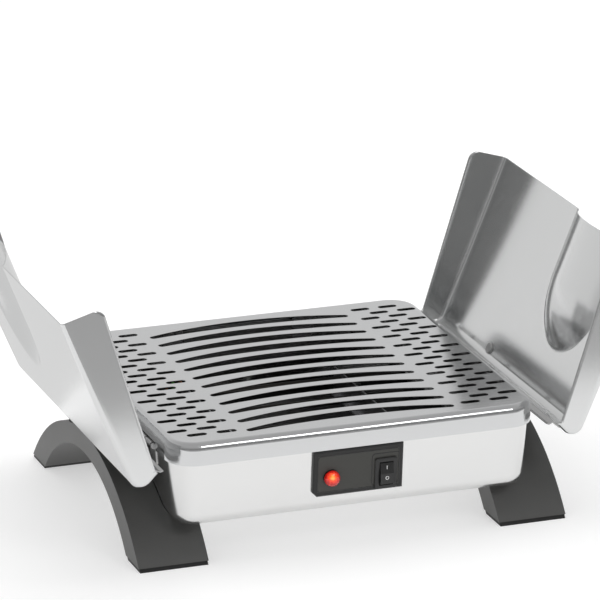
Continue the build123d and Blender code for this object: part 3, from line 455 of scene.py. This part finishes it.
@dataclass(frozen=True)
class BulbGlass:
    """Thin glass envelope with a warm filament behind it."""

    name: str
    swirl_scale: float = 400.0

    def material(self) -> bpy.types.Material:
        """Build the finish.

        Returns:
            The material.
        """
        graph = Surface(self.name)
        swirl = graph.noise(graph.place, self.swirl_scale, detail=3.0)
        return graph.dress(
            Base_Color=graph.blend(swirl, (0.9, 0.6, 0.35), (1.0, 0.8, 0.6)),
            Roughness=0.08,
            Emission_Color=graph.blend(swirl, (1.0, 0.25, 0.05), (1.0, 0.45, 0.15)),
            Emission_Strength=0.8,
        )


@dataclass(frozen=True)
class Plan:
    """A flat face at the front, by its middle in millimetres and how far its top leans out."""

    origin: Point
    lean: float

    def matrix(self) -> Matrix:
        """Matrix from the face's own millimetres, across, up and outward, to the scene's metres."""
        turn = Matrix.Rotation(math.radians(90.0 + self.lean), 4, "X")
        return Matrix.Translation(Vector(self.origin) * MM) @ turn @ Matrix.Scale(MM, 4)


class Sheetwork:
    """Makes mesh objects from rows of points and puts finishes on objects."""

    BEAD_SIDES = 10
    SHARP_ANGLE = 28.0

    @staticmethod
    def mesh(name: str, points: list[Vector], faces: list[tuple[int, ...]]) -> bpy.types.Object:
        """Make a smooth mesh object and add it to the scene.

        Args:
            name: the piece's name.
            points: vertices in metres.
            faces: vertex numbers of each face.

        Returns:
            The new object.
        """
        data = bpy.data.meshes.new(name)
        data.from_pydata(points, [], faces)
        data.update()
        data.polygons.foreach_set("use_smooth", [True] * len(data.polygons))
        piece = bpy.data.objects.new(name, data)
        bpy.context.scene.collection.objects.link(piece)
        return piece

    @staticmethod
    def level_sheet(
        name: str, half: float, near: float, far: float, height: float
    ) -> bpy.types.Object:
        """Level rectangle with half its width on either side of the Y axis, in metres."""
        corners = ((-half, near), (half, near), (half, far), (-half, far))
        return Sheetwork.mesh(name, [Vector((x, y, height)) for x, y in corners], [(0, 1, 2, 3)])

    @staticmethod
    def grid(rows: int, columns: int, ring: bool = False) -> list[tuple[int, ...]]:
        """Faces of a grid of points.

        Args:
            rows: number of rows.
            columns: points in each row.
            ring: whether each row closes on itself.

        Returns:
            Vertex numbers of each face.
        """
        last = columns if ring else columns - 1
        return [
            (
                row * columns + column,
                row * columns + (column + 1) % columns,
                (row + 1) * columns + (column + 1) % columns,
                (row + 1) * columns + column,
            )
            for row in range(rows - 1)
            for column in range(last)
        ]

    @staticmethod
    def bead(
        name: str, path: list[Vector], matrix: Matrix, radius: float, closed: bool
    ) -> bpy.types.Object:
        """Round bead along a path that lies in a plan.

        Args:
            name: the piece's name.
            path: centre points in the plan's millimetres.
            matrix: from the plan to the scene.
            radius: the bead's radius in millimetres.
            closed: whether the path closes on itself.

        Returns:
            The new object.
        """
        around = Sheetwork.BEAD_SIDES
        outward = Vector((0.0, 0.0, 1.0))
        points: list[Vector] = []
        count = len(path)
        for index, centre in enumerate(path):
            after = path[(index + 1) % count] if closed else path[min(index + 1, count - 1)]
            before = path[index - 1] if closed or index else path[0]
            aside = (after - before).normalized().cross(outward)
            for step in range(around):
                turn = 2 * math.pi * step / around
                spoke = aside * math.cos(turn) + outward * math.sin(turn)
                points.append(matrix @ (centre + spoke * radius))
        faces = Sheetwork.grid(count, around, ring=True)
        last = (count - 1) * around
        if closed:
            faces += [
                (last + step, last + (step + 1) % around, (step + 1) % around, step)
                for step in range(around)
            ]
        else:
            faces.append(tuple(range(around)))
            faces.append(tuple(last + step for step in reversed(range(around))))
        return Sheetwork.mesh(name, points, faces)

    @staticmethod
    def finish(piece: bpy.types.Object, material: bpy.types.Material) -> None:
        """Put one finish on the whole of a piece."""
        piece.data.materials.clear()
        piece.data.materials.append(material)

    @staticmethod
    def dress_nodes(names: tuple[str, ...], material: bpy.types.Material) -> None:
        """Put a finish on carried-over pieces and smooth their curved faces.

        Args:
            names: the pieces' names.
            material: the finish.
        """
        for name in names:
            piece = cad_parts[name]
            Sheetwork.finish(piece, material)
            for polygon in piece.data.polygons:
                polygon.use_smooth = True
            piece.data.set_sharp_from_angle(angle=math.radians(Sheetwork.SHARP_ANGLE))
            LOG.info("dressed %s", name)


@dataclass
class FoldingLid:
    """One pressed steel wing, described shut and in millimetres, then swung open.

    Shut, the wing's crown runs from the seam over the warmer's middle to the bulge beside the
    hinge, as an arc through three points. Points of its section are (x, z), with y along the hinge.
    The rows lie closer together at the corner by the seam. Inside the finger recess the seam edge
    is cut back, which fades along the crown and stops short of its end.
    """

    side: Side
    seam_x: float = 6.5
    edge_z: float = 107.6
    height: float = 36.0
    middle: tuple[float, float] = (66.5, 31.2)
    bulge: tuple[float, float] = (156.1, 12.1)
    bulge_radius: float = 10.0
    crown_end: float = 84.6
    ridge_slope: float = 60.0
    ridge_z: float = 105.5
    half_length: float = 156.0
    sheet: float = 0.8
    bend: float = 4.0
    corner: float = 8.0
    recess_y: float = -57.0
    recess_half: float = 51.0
    recess_depth: float = 15.0
    recess_straight: float = 57.0
    recess_length: float = 112.0
    press_round: float = 0.9
    cut_back: float = 1.2
    cut_back_fade: float = 16.0
    cut_back_limit: float = 20.0
    pivot: tuple[float, float] = (160.5, 91.2)
    open_angle: float = 107.0
    corner_runs: tuple[float, ...] = (0.0, 0.4, 1.0, 1.8, 2.8, 4.0, 5.2, 6.4, 7.4, 8.2)
    crown_rows: int = 84
    bulge_rows: int = 26
    ridge_rows: int = 5
    across: int = 150
    wall_rows: int = 8
    bend_rows: int = 6
    arc: tuple[float, float, float] = field(init=False)
    crown_stop: float = field(init=False)

    def __post_init__(self) -> None:
        """Work out the crown's circle from its two ends and a point between them."""
        ax, az = self.seam_x, self.edge_z + self.height
        bx, bz = self.middle[0], self.edge_z + self.middle[1]
        cx, cz = self.on_bulge(self.crown_end)
        double = 2 * (ax * (bz - cz) + bx * (cz - az) + cx * (az - bz))
        sa, sb, sc = ax * ax + az * az, bx * bx + bz * bz, cx * cx + cz * cz
        x = (sa * (bz - cz) + sb * (cz - az) + sc * (az - bz)) / double
        z = (sa * (cx - bx) + sb * (ax - cx) + sc * (bx - ax)) / double
        self.arc = (x, z, math.hypot(ax - x, az - z))
        self.crown_stop = cx

    def on_bulge(self, degrees: float) -> tuple[float, float]:
        """Point (x, z) of the bulge's arc at an angle from level."""
        turn = math.radians(degrees)
        return (
            self.bulge[0] + self.bulge_radius * math.cos(turn),
            self.edge_z + self.bulge[1] + self.bulge_radius * math.sin(turn),
        )

    def crown(self, x: float) -> tuple[Vector, Vector]:
        """Point and inward direction of the crown.

        Args:
            x: distance from the warmer's middle.

        Returns:
            The point and the unit direction, both as (x, z).
        """
        cx, cz, radius = self.arc
        z = cz + math.sqrt(radius**2 - (x - cx) ** 2)
        return Vector((x, z)), Vector((cx - x, cz - z)).normalized()

    def stations(self) -> list[tuple[float, Vector, Vector]]:
        """Rows of the pressing, from the seam over the crown and the bulge to the ridge.

        Returns:
            Run along the crown, point and inward direction of each row.
        """
        span = self.crown_stop - self.seam_x
        near = self.corner_runs[-1]
        steps = range(1, self.crown_rows + 1)
        runs = [*self.corner_runs, *(near + (span - near) * step / self.crown_rows for step in steps)]
        found = [(run, *self.crown(self.seam_x + run)) for run in runs]
        sweep = self.ridge_slope - 90.0 - self.crown_end
        for step in range(1, self.bulge_rows + 1):
            degrees = self.crown_end + sweep * step / self.bulge_rows
            turn = math.radians(degrees)
            inward = -Vector((math.cos(turn), math.sin(turn)))
            found.append((span + step, Vector(self.on_bulge(degrees)), inward))
        run, start, inward = found[-1]
        slope = math.radians(self.ridge_slope)
        length = (start.y - self.ridge_z) / math.sin(slope)
        for step in range(1, self.ridge_rows + 1):
            along = Vector((math.cos(slope), math.sin(slope))) * (length * step / self.ridge_rows)
            found.append((run + step, start - along, inward))
        return found

    def pressed(self, run: float, y: float) -> float:
        """Depth of the finger recess, with rounded lips.

        Args:
            run: distance from the seam along the crown.
            y: distance along the hinge.

        Returns:
            Depth below the crown.
        """
        deep = (self.recess_half**2 + self.recess_depth**2) / (2 * self.recess_depth)
        high = deep - self.recess_depth
        reach = self.recess_length - self.recess_straight
        round_off = (reach**2 + self.recess_depth**2) / (2 * self.recess_depth)
        past = max(0.0, run - self.recess_straight)
        if past >= round_off:
            return 0.0
        radius = deep - round_off + math.sqrt(round_off**2 - past**2)
        aside = y - self.recess_y
        if radius <= abs(aside):
            return 0.0
        drop = math.sqrt(radius**2 - aside**2) - high
        return 0.5 * (drop + math.sqrt(drop**2 + self.press_round**2))

    def scallop(self, run: float, y: float) -> float:
        """How far the seam edge is cut back inside the recess, fading along the crown.

        Args:
            run: distance from the seam along the crown.
            y: distance along the hinge.

        Returns:
            Distance that the row moves away from the seam.
        """
        edge = self.recess_half - self.cut_back
        inside = min(1.0, max(0.0, (edge - abs(y - self.recess_y)) / self.cut_back))
        swell = math.sqrt(1.0 - (1.0 - inside) ** 2)
        return self.cut_back * swell * max(0.0, 1.0 - run / self.cut_back_fade)

    def free_edge(self, x: float) -> Vector:
        """Point of a side wall's free edge, with the round corner at the seam.

        Args:
            x: distance of the wall's root from the warmer's middle.

        Returns:
            The point below the root, as (x, z).
        """
        slope = math.radians(self.ridge_slope)
        bulge_x, bulge_z = self.on_bulge(self.ridge_slope - 90.0)
        ridge_x = bulge_x - (bulge_z - self.ridge_z) / math.tan(slope)
        stop = ridge_x - (self.edge_z - self.ridge_z) * math.tan(slope)
        run = max(0.0, min(x, stop) - self.seam_x)
        lift = 0.0
        if run < self.corner:
            lift = self.corner - math.sqrt(self.corner**2 - (self.corner - run) ** 2)
        return Vector((self.seam_x + run, self.edge_z + lift))

    def section(self, run: float, point: Vector, inward: Vector) -> list[Point]:
        """One row of points from the front free edge over the crown to the back free edge.

        Args:
            run: distance from the seam along the crown.
            point: the row's point on the crown, as (x, z).
            inward: direction into the lid there, as (x, z).

        Returns:
            Points as (x, z, y).
        """
        half = self.half_length
        flat = half - self.bend
        root = point + inward * self.bend
        foot = self.free_edge(root.x)
        wall = [(*foot.lerp(root, step / self.wall_rows), -half) for step in range(self.wall_rows)]
        for step in range(self.bend_rows):
            turn = math.pi / 2 * step / self.bend_rows
            place = point + inward * (self.bend * (1 - math.sin(turn)))
            wall.append((*place, -flat - self.bend * math.cos(turn)))
        on_crown = point.x < self.crown_stop - self.cut_back_limit
        middle: list[Point] = []
        for step in range(self.across + 1):
            y = -flat + 2 * flat * step / self.across
            back = self.scallop(run, y)
            place, into = self.crown(point.x + back) if back and on_crown else (point, inward)
            middle.append((*(place + into * self.pressed(run + back, y)), y))
        return wall + middle + [(x, z, -y) for x, z, y in reversed(wall)]

    def opened(self, x: float, z: float, y: float) -> Vector:
        """Swing a point of the shut pressing open and put it on its side of the warmer.

        Args:
            x: distance from the warmer's middle.
            z: height above the table.
            y: distance along the hinge.

        Returns:
            The point in metres.
        """
        turn = math.radians(self.open_angle)
        u, v = x - self.pivot[0], z - self.pivot[1]
        out = self.pivot[0] + u * math.cos(turn) + v * math.sin(turn)
        up = self.pivot[1] - u * math.sin(turn) + v * math.cos(turn)
        side = self.side.value
        return Vector((side * out, side * y, up)) * MM

    def build(self, steel: bpy.types.Material) -> None:
        """Press, fold and open the lid.

        Args:
            steel: the lid's finish.
        """
        rows = [self.section(*station) for station in self.stations()]
        points = [self.opened(*point) for row in rows for point in row]
        name = f"{self.side.name.lower()}_lid_pressing"
        lid = Sheetwork.mesh(name, points, Sheetwork.grid(len(rows), len(rows[0])))
        thick = lid.modifiers.new("sheet", "SOLIDIFY")
        thick.thickness = self.sheet * MM
        thick.offset = 1.0
        thick.use_even_offset = True
        Sheetwork.finish(lid, steel)
        body = f"{self.side.name.lower()}_lid"
        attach(lid, body)
        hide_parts(body)
        LOG.info("built %s", name)


@dataclass
class SteelBase:
    """Drawn pan, slotted top and the steel of the hinges and fixings."""

    pan: tuple[str, ...] = ("base_pan",)
    top: tuple[str, ...] = ("top_grille",)
    hinges: tuple[str, ...] = tuple(
        f"{side.name.lower()}_{part}"
        for side in Side
        for part in ("hinge_leaf", "hinge_rod", "hinge_brackets", "lid_rivets", "lid_stud")
    )
    fixings: tuple[str, ...] = (
        "grille_brackets", "grille_studs", "grille_nuts", "foot_screws", "panel_clips",
        "indicator_nut", "reflector_posts", "reflector_screws", "element_brackets",
        "earth_stud", "earth_nuts", "inlet_screws", "inlet_nuts",
    )

    def dress(self) -> None:
        """Put each sheet's own finish on it."""
        for steel, names in (
            (Steel("satin_pan", (0.8, 0.8, 0.795), 0.22, Grain.ALONG_X), self.pan),
            (Steel("polished_top", (0.67, 0.675, 0.68), 0.16, Grain.ALONG_X), self.top),
            (Steel("hinge_steel", (0.5, 0.5, 0.5), 0.34, Grain.ALONG_Y), self.hinges),
            (Steel("bright_zinc", (0.66, 0.66, 0.68), 0.34, Grain.ALONG_Z), self.fixings),
        ):
            Sheetwork.dress_nodes(names, steel.material())


@dataclass
class FeetAndStops:
    """Black arched feet, their rubber pads and the stops under the open lids."""

    feet: tuple[str, ...] = ("left_foot", "right_foot")
    rubber: tuple[str, ...] = ("left_foot_pads", "right_foot_pads", "lid_stops")

    def dress(self) -> None:
        """Put the moulded and the rubber finish on."""
        black = Moulding("grained_foot", (0.062, 0.062, 0.06), 0.42, grain_scale=1900.0)
        Sheetwork.dress_nodes(self.feet, black.material())
        rubber = Moulding("pad_rubber", (0.006, 0.006, 0.006), 0.62, grain_scale=900.0)
        Sheetwork.dress_nodes(self.rubber, rubber.material())


@dataclass
class ControlPanel:
    """Moulded panel with its lamp and rocker, on the slanted front of the pan.

    Places on the panel are in millimetres from its middle, across and upward. The guard's sides
    are measured from the switch, and its ends from the raised border.
    """

    plan: Plan = Plan((0.0, -145.867, 67.5), 4.0)
    width: float = 79.0
    height: float = 40.0
    thickness: float = 3.2
    ridge_inset: float = 4.0
    ridge_radius: float = 0.45
    ridge_sink: float = 0.15
    ridge_corner: float = 3.0
    corner_steps: int = 6
    guard_left: float = 12.2
    guard_right: float = 12.0
    guard_above: float = 3.2
    guard_below: float = 0.9
    lamp: Point = (-23.5, -3.6, 0.0)
    glow_offset: Point = (-1.0, 2.6, 9.0)
    rocker: Plan = Plan((24.0, -147.514, 62.373), -4.0)
    rocker_peak: float = 5.6
    rocker_fall: float = 2.0 / 20.4
    bar_rise: float = 5.3
    bar_height: float = 3.0
    bar_steps: int = 4
    zero_rise: float = -3.7
    zero_radius: float = 1.3
    zero_steps: int = 28
    mark_radius: float = 0.3

    def rounded(self, x0: float, y0: float, x1: float, y1: float) -> list[Vector]:
        """Closed path round a rectangle with round corners, at the level of the ridges.

        Args:
            x0: left side.
            y0: lower side.
            x1: right side.
            y1: upper side.

        Returns:
            Points in the panel's millimetres.
        """
        r = self.ridge_corner
        level = self.thickness - self.ridge_sink
        corners = (
            (x1 - r, y1 - r, 0),
            (x0 + r, y1 - r, 90),
            (x0 + r, y0 + r, 180),
            (x1 - r, y0 + r, 270),
        )
        path: list[Vector] = []
        for x, y, start in corners:
            for step in range(self.corner_steps + 1):
                turn = math.radians(start + 90 * step / self.corner_steps)
                path.append(Vector((x + r * math.cos(turn), y + r * math.sin(turn), level)))
        return path

    def build_ridges(self, plastic: bpy.types.Material) -> None:
        """Mould the raised line round the panel and the frame beside the switch.

        Args:
            plastic: their finish.
        """
        matrix = self.plan.matrix()
        x = self.width / 2 - self.ridge_inset
        y = self.height / 2 - self.ridge_inset
        border = self.rounded(-x, -y, x, y)
        switch = self.rocker.origin[0]
        left, right = switch - self.guard_left, switch + self.guard_right
        guard = self.rounded(left, self.guard_below - y, right, y - self.guard_above)
        for name, path in (("panel_border", border), ("switch_guard", guard)):
            bead = Sheetwork.bead(name, path, matrix, self.ridge_radius, True)
            Sheetwork.finish(bead, plastic)
            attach(bead, "base")
            LOG.info("built %s", name)

    def on_rocker(self, x: float, y: float) -> Vector:
        """Point on the rocker's two-sided roof, in the rocker plan's millimetres."""
        return Vector((x, y, self.rocker_peak - abs(y) * self.rocker_fall))

    def build_marks(self, paint: bpy.types.Material) -> None:
        """Inlay the bar and the zero of the rocker.

        Args:
            paint: their finish.
        """
        matrix = self.rocker.matrix()
        turns = [2 * math.pi * step / self.zero_steps for step in range(self.zero_steps)]
        r, rise = self.zero_radius, self.zero_rise
        zero = [self.on_rocker(r * math.cos(turn), rise + r * math.sin(turn)) for turn in turns]
        shares = [step / self.bar_steps - 0.5 for step in range(self.bar_steps + 1)]
        bar = [self.on_rocker(0.0, self.bar_rise + self.bar_height * share) for share in shares]
        for name, path, closed in (("zero_mark", zero, True), ("bar_mark", bar, False)):
            mark = Sheetwork.bead(name, path, matrix, self.mark_radius, closed)
            Sheetwork.finish(mark, paint)
            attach(mark, "rocker")
            LOG.info("built %s", name)

    def dress(self) -> None:
        """Put the finishes on and build the small raised parts."""
        face = BorderedMoulding(
            "grained_panel",
            (0.05, 0.05, 0.045),
            0.5,
            grain_scale=2400.0,
            border=(0.008, 0.008, 0.008),
            middle=tuple(Vector(self.plan.origin) * MM),
            half_width=(self.width / 2 - self.ridge_inset) * MM,
            half_height=(self.height / 2 - self.ridge_inset) * MM,
        )
        Sheetwork.dress_nodes(("control_panel",), face.material())
        ridge = Moulding("panel_ridge", (0.02, 0.02, 0.02), 0.38, grain_scale=2400.0)
        self.build_ridges(ridge.material())
        gloss = Moulding(
            "switch_black", (0.012, 0.012, 0.012), 0.3, grain_scale=3000.0, grain_depth=6e-6
        )
        Sheetwork.dress_nodes(("switch_housing", "rocker_button"), gloss.material())
        self.build_marks(Moulding("mark_white", (0.8, 0.8, 0.8), 0.5).material())
        glow = self.plan.matrix() @ (Vector(self.lamp) + Vector(self.glow_offset))
        Sheetwork.dress_nodes(("indicator_lens",), GlowingLens("lit_lens", tuple(glow)).material())
        Sheetwork.dress_nodes(("indicator_bulb",), BulbGlass("bulb_glass").material())
        ring = Steel("blackened_ring", (0.07, 0.07, 0.07), 0.25, Grain.ALONG_X, grain_share=0.02)
        Sheetwork.dress_nodes(("indicator_holder",), ring.material())


@dataclass
class Heater:
    """Element, reflector, controls, wires and inlet inside and behind the base."""

    reflector: tuple[str, ...] = ("reflector_tray",)
    element: tuple[str, ...] = ("heating_element",)
    contacts: tuple[str, ...] = ("switch_terminals", "earth_tab", "inlet_pins")
    controls: tuple[str, ...] = ("terminal_block", "thermostat", "thermal_fuse")
    inlet: tuple[str, ...] = ("mains_inlet",)
    brown_wires: tuple[str, ...] = ("mains_wires", "switch_wires")
    green_wires: tuple[str, ...] = ("earth_wire",)
    white_wires: tuple[str, ...] = ("heater_wires", "lamp_wire")

    def dress(self) -> None:
        """Put each inner part's finish on it."""
        dull = Steel("dull_reflector", (0.05, 0.05, 0.05), 0.45, Grain.ALONG_Y, wave_depth=3e-4)
        brass = Steel("contact_brass", (0.78, 0.58, 0.28), 0.25, Grain.ALONG_Y)
        fired = Moulding("heat_proof_grey", (0.11, 0.105, 0.1), 0.55)
        black = Moulding("inlet_black", (0.014, 0.014, 0.014), 0.42)
        brown = Moulding("brown_sleeve", (0.2, 0.08, 0.035), 0.5, grain_scale=2200.0)
        green = Moulding("green_sleeve", (0.1, 0.4, 0.06), 0.5, grain_scale=2200.0)
        white = Moulding("white_sleeve", (0.75, 0.75, 0.72), 0.5, grain_scale=2200.0)
        for finish, names in (
            (dull, self.reflector),
            (HeatTint("blued_tube"), self.element),
            (brass, self.contacts),
            (fired, self.controls),
            (black, self.inlet),
            (brown, self.brown_wires),
            (green, self.green_wires),
            (white, self.white_wires),
        ):
            Sheetwork.dress_nodes(names, finish.material())


@dataclass(frozen=True)
class Flag:
    """Sheet on the floor that only polished faces see, so that they don't burn out.

    Its edges' places along Y are in metres, and its levels are the brightness at its near and
    far edges.
    """

    name: str
    near: float
    far: float
    levels: tuple[float, float]
    half: float = 2.5
    lift: float = 0.002

    def lay(self) -> None:
        """Lay the sheet and hide it from everything but reflections."""
        low, high = sorted((self.near, self.far))
        flag = Sheetwork.level_sheet(self.name, self.half, low, high, self.lift)
        graph = Surface(self.name)
        share = (graph.axis(graph.place, "Y") - self.near) / (self.far - self.near)
        paint = graph.dress(
            Base_Color=(0.0, 0.0, 0.0),
            Specular_IOR_Level=0.0,
            Emission_Color=graph.greys(share, tuple(zip((0.0, 1.0), self.levels))),
            Emission_Strength=1.0,
        )
        Sheetwork.finish(flag, paint)
        flag.visible_camera = False
        flag.visible_diffuse = False
        flag.visible_transmission = False
        flag.visible_shadow = False


@dataclass(frozen=True)
class Softbox:
    """Soft square light that faces the warmer, in metres and watts."""

    name: str
    spot: Point
    size: float
    power: float
    mirrored: bool = True
    aim: Point = (0.0, 0.0, 0.1)

    def hang(self) -> None:
        """Hang the light and turn it to the warmer."""
        data = bpy.data.lights.new(self.name, "AREA")
        data.shape = "SQUARE"
        data.size = self.size
        data.energy = self.power
        light = bpy.data.objects.new(self.name, data)
        light.location = self.spot
        light.visible_glossy = self.mirrored
        light.rotation_mode = "QUATERNION"
        light.rotation_quaternion = (Vector(self.aim) - Vector(self.spot)).to_track_quat("-Z", "Y")
        bpy.context.scene.collection.objects.link(light)


@dataclass
class Studio:
    """Pale floor, sky, soft lights and the camera.

    The camera's target, distance, lens and sensor are in millimetres, its angles in degrees. Each
    sky is a row of heights, from level to straight up, with the brightness there, and sky_change
    says how fast the front one turns into the back one.
    """

    target: Point = (3.5, 0.0, 167.2)
    yaw: float = 20.407
    pitch: float = 18.392
    roll: float = 0.329
    distance: float = 3973.0
    lens: float = 283.4
    sensor: float = 36.0
    clip_end: float = 60.0
    floor_half: float = 9.0
    floor_glow: float = 0.5
    floor_scale: float = 3.0
    front_sky: Levels = ((0.0, 0.2), (0.3, 0.32), (0.7, 0.5), (1.0, 0.5))
    back_sky: Levels = ((0.0, 0.86), (0.3, 0.78), (0.7, 0.6), (1.0, 0.5))
    sky_change: float = 2.0
    flags: tuple[Flag, ...] = (
        Flag("front_flag", -0.5, -3.0, (0.5, 0.3)),
        Flag("back_flag", 0.2, 1.6, (0.8, 0.86)),
    )
    lights: tuple[Softbox, ...] = (
        Softbox("overhead_light", (0.2, 0.7, 2.5), 2.6, 38.0, mirrored=False),
        Softbox("rim_light", (1.2, -2.8, 2.6), 1.0, 14.0),
        Softbox("side_light", (-2.4, -0.8, 1.6), 1.2, 5.0, mirrored=False),
    )

    def build_camera(self) -> None:
        """Place the camera where the photograph was taken from."""
        yaw, pitch, roll = (math.radians(angle) for angle in (self.yaw, self.pitch, self.roll))
        level_share = math.cos(pitch)
        ahead = Vector((math.sin(yaw) * level_share, math.cos(yaw) * level_share, -math.sin(pitch)))
        level = Vector((math.cos(yaw), -math.sin(yaw), 0.0))
        upright = level.cross(ahead)
        right = level * math.cos(roll) + upright * math.sin(roll)
        up = upright * math.cos(roll) - level * math.sin(roll)
        turn = Matrix((right, up, -ahead)).transposed().to_4x4()
        data = bpy.data.cameras.new("camera")
        data.lens = self.lens
        data.sensor_width = self.sensor
        data.clip_end = self.clip_end
        camera = bpy.data.objects.new("camera", data)
        spot = Vector(self.target) * MM - ahead * (self.distance * MM)
        camera.matrix_world = Matrix.Translation(spot) @ turn
        bpy.context.scene.collection.objects.link(camera)
        bpy.context.scene.camera = camera
        LOG.info("placed the camera")

    def build_floor(self) -> None:
        """Lay the pale floor."""
        half = self.floor_half
        floor = Sheetwork.level_sheet("floor", half, -half, half, 0.0)
        graph = Surface("pale_floor")
        tone = graph.noise(graph.place, self.floor_scale, detail=3.0)
        paint = graph.dress(
            Base_Color=graph.blend(tone, (0.57, 0.57, 0.57), (0.59, 0.59, 0.59)),
            Roughness=0.9,
            Emission_Color=(1.0, 1.0, 1.0),
            Emission_Strength=self.floor_glow,
        )
        Sheetwork.finish(floor, paint)

    def build_sky(self) -> None:
        """Dark in front and pale behind, so that polished sheets have something to show."""
        world = bpy.data.worlds.new("soft_sky")
        bpy.context.scene.world = world
        world.use_nodes = True
        graph = Graph(world.node_tree)
        way = graph.signal("ShaderNodeTexCoord", {}, {}, "Generated").socket
        height = graph.axis(way, "Z")
        front = graph.greys(height, self.front_sky)
        back = graph.greys(height, self.back_sky)
        sky = graph.blend(graph.axis(way, "Y") * self.sky_change + 0.5, front, back)
        graph.feed(graph.tree.nodes["Background"].inputs["Color"], sky)

    def build(self) -> None:
        """Set the whole studio up."""
        self.build_camera()
        self.build_floor()
        self.build_sky()
        for flag in self.flags:
            flag.lay()
        for light in self.lights:
            light.hang()
        bpy.context.scene.view_settings.view_transform = "Standard"
        LOG.info("set up the studio")


def main() -> None:
    """Build the studio, then the warmer from the lids down to the wires."""
    logging.basicConfig(level=logging.INFO)
    Studio().build()
    polished = Steel(
        "polished_lid", (0.73, 0.735, 0.735), 0.17, Grain.ALONG_Y, grain_depth=6e-7, wave_depth=2e-4
    ).material()
    for side in Side:
        FoldingLid(side).build(polished)
    SteelBase().dress()
    FeetAndStops().dress()
    ControlPanel().dress()
    Heater().dress()


if __name__ == "__main__":
    main()
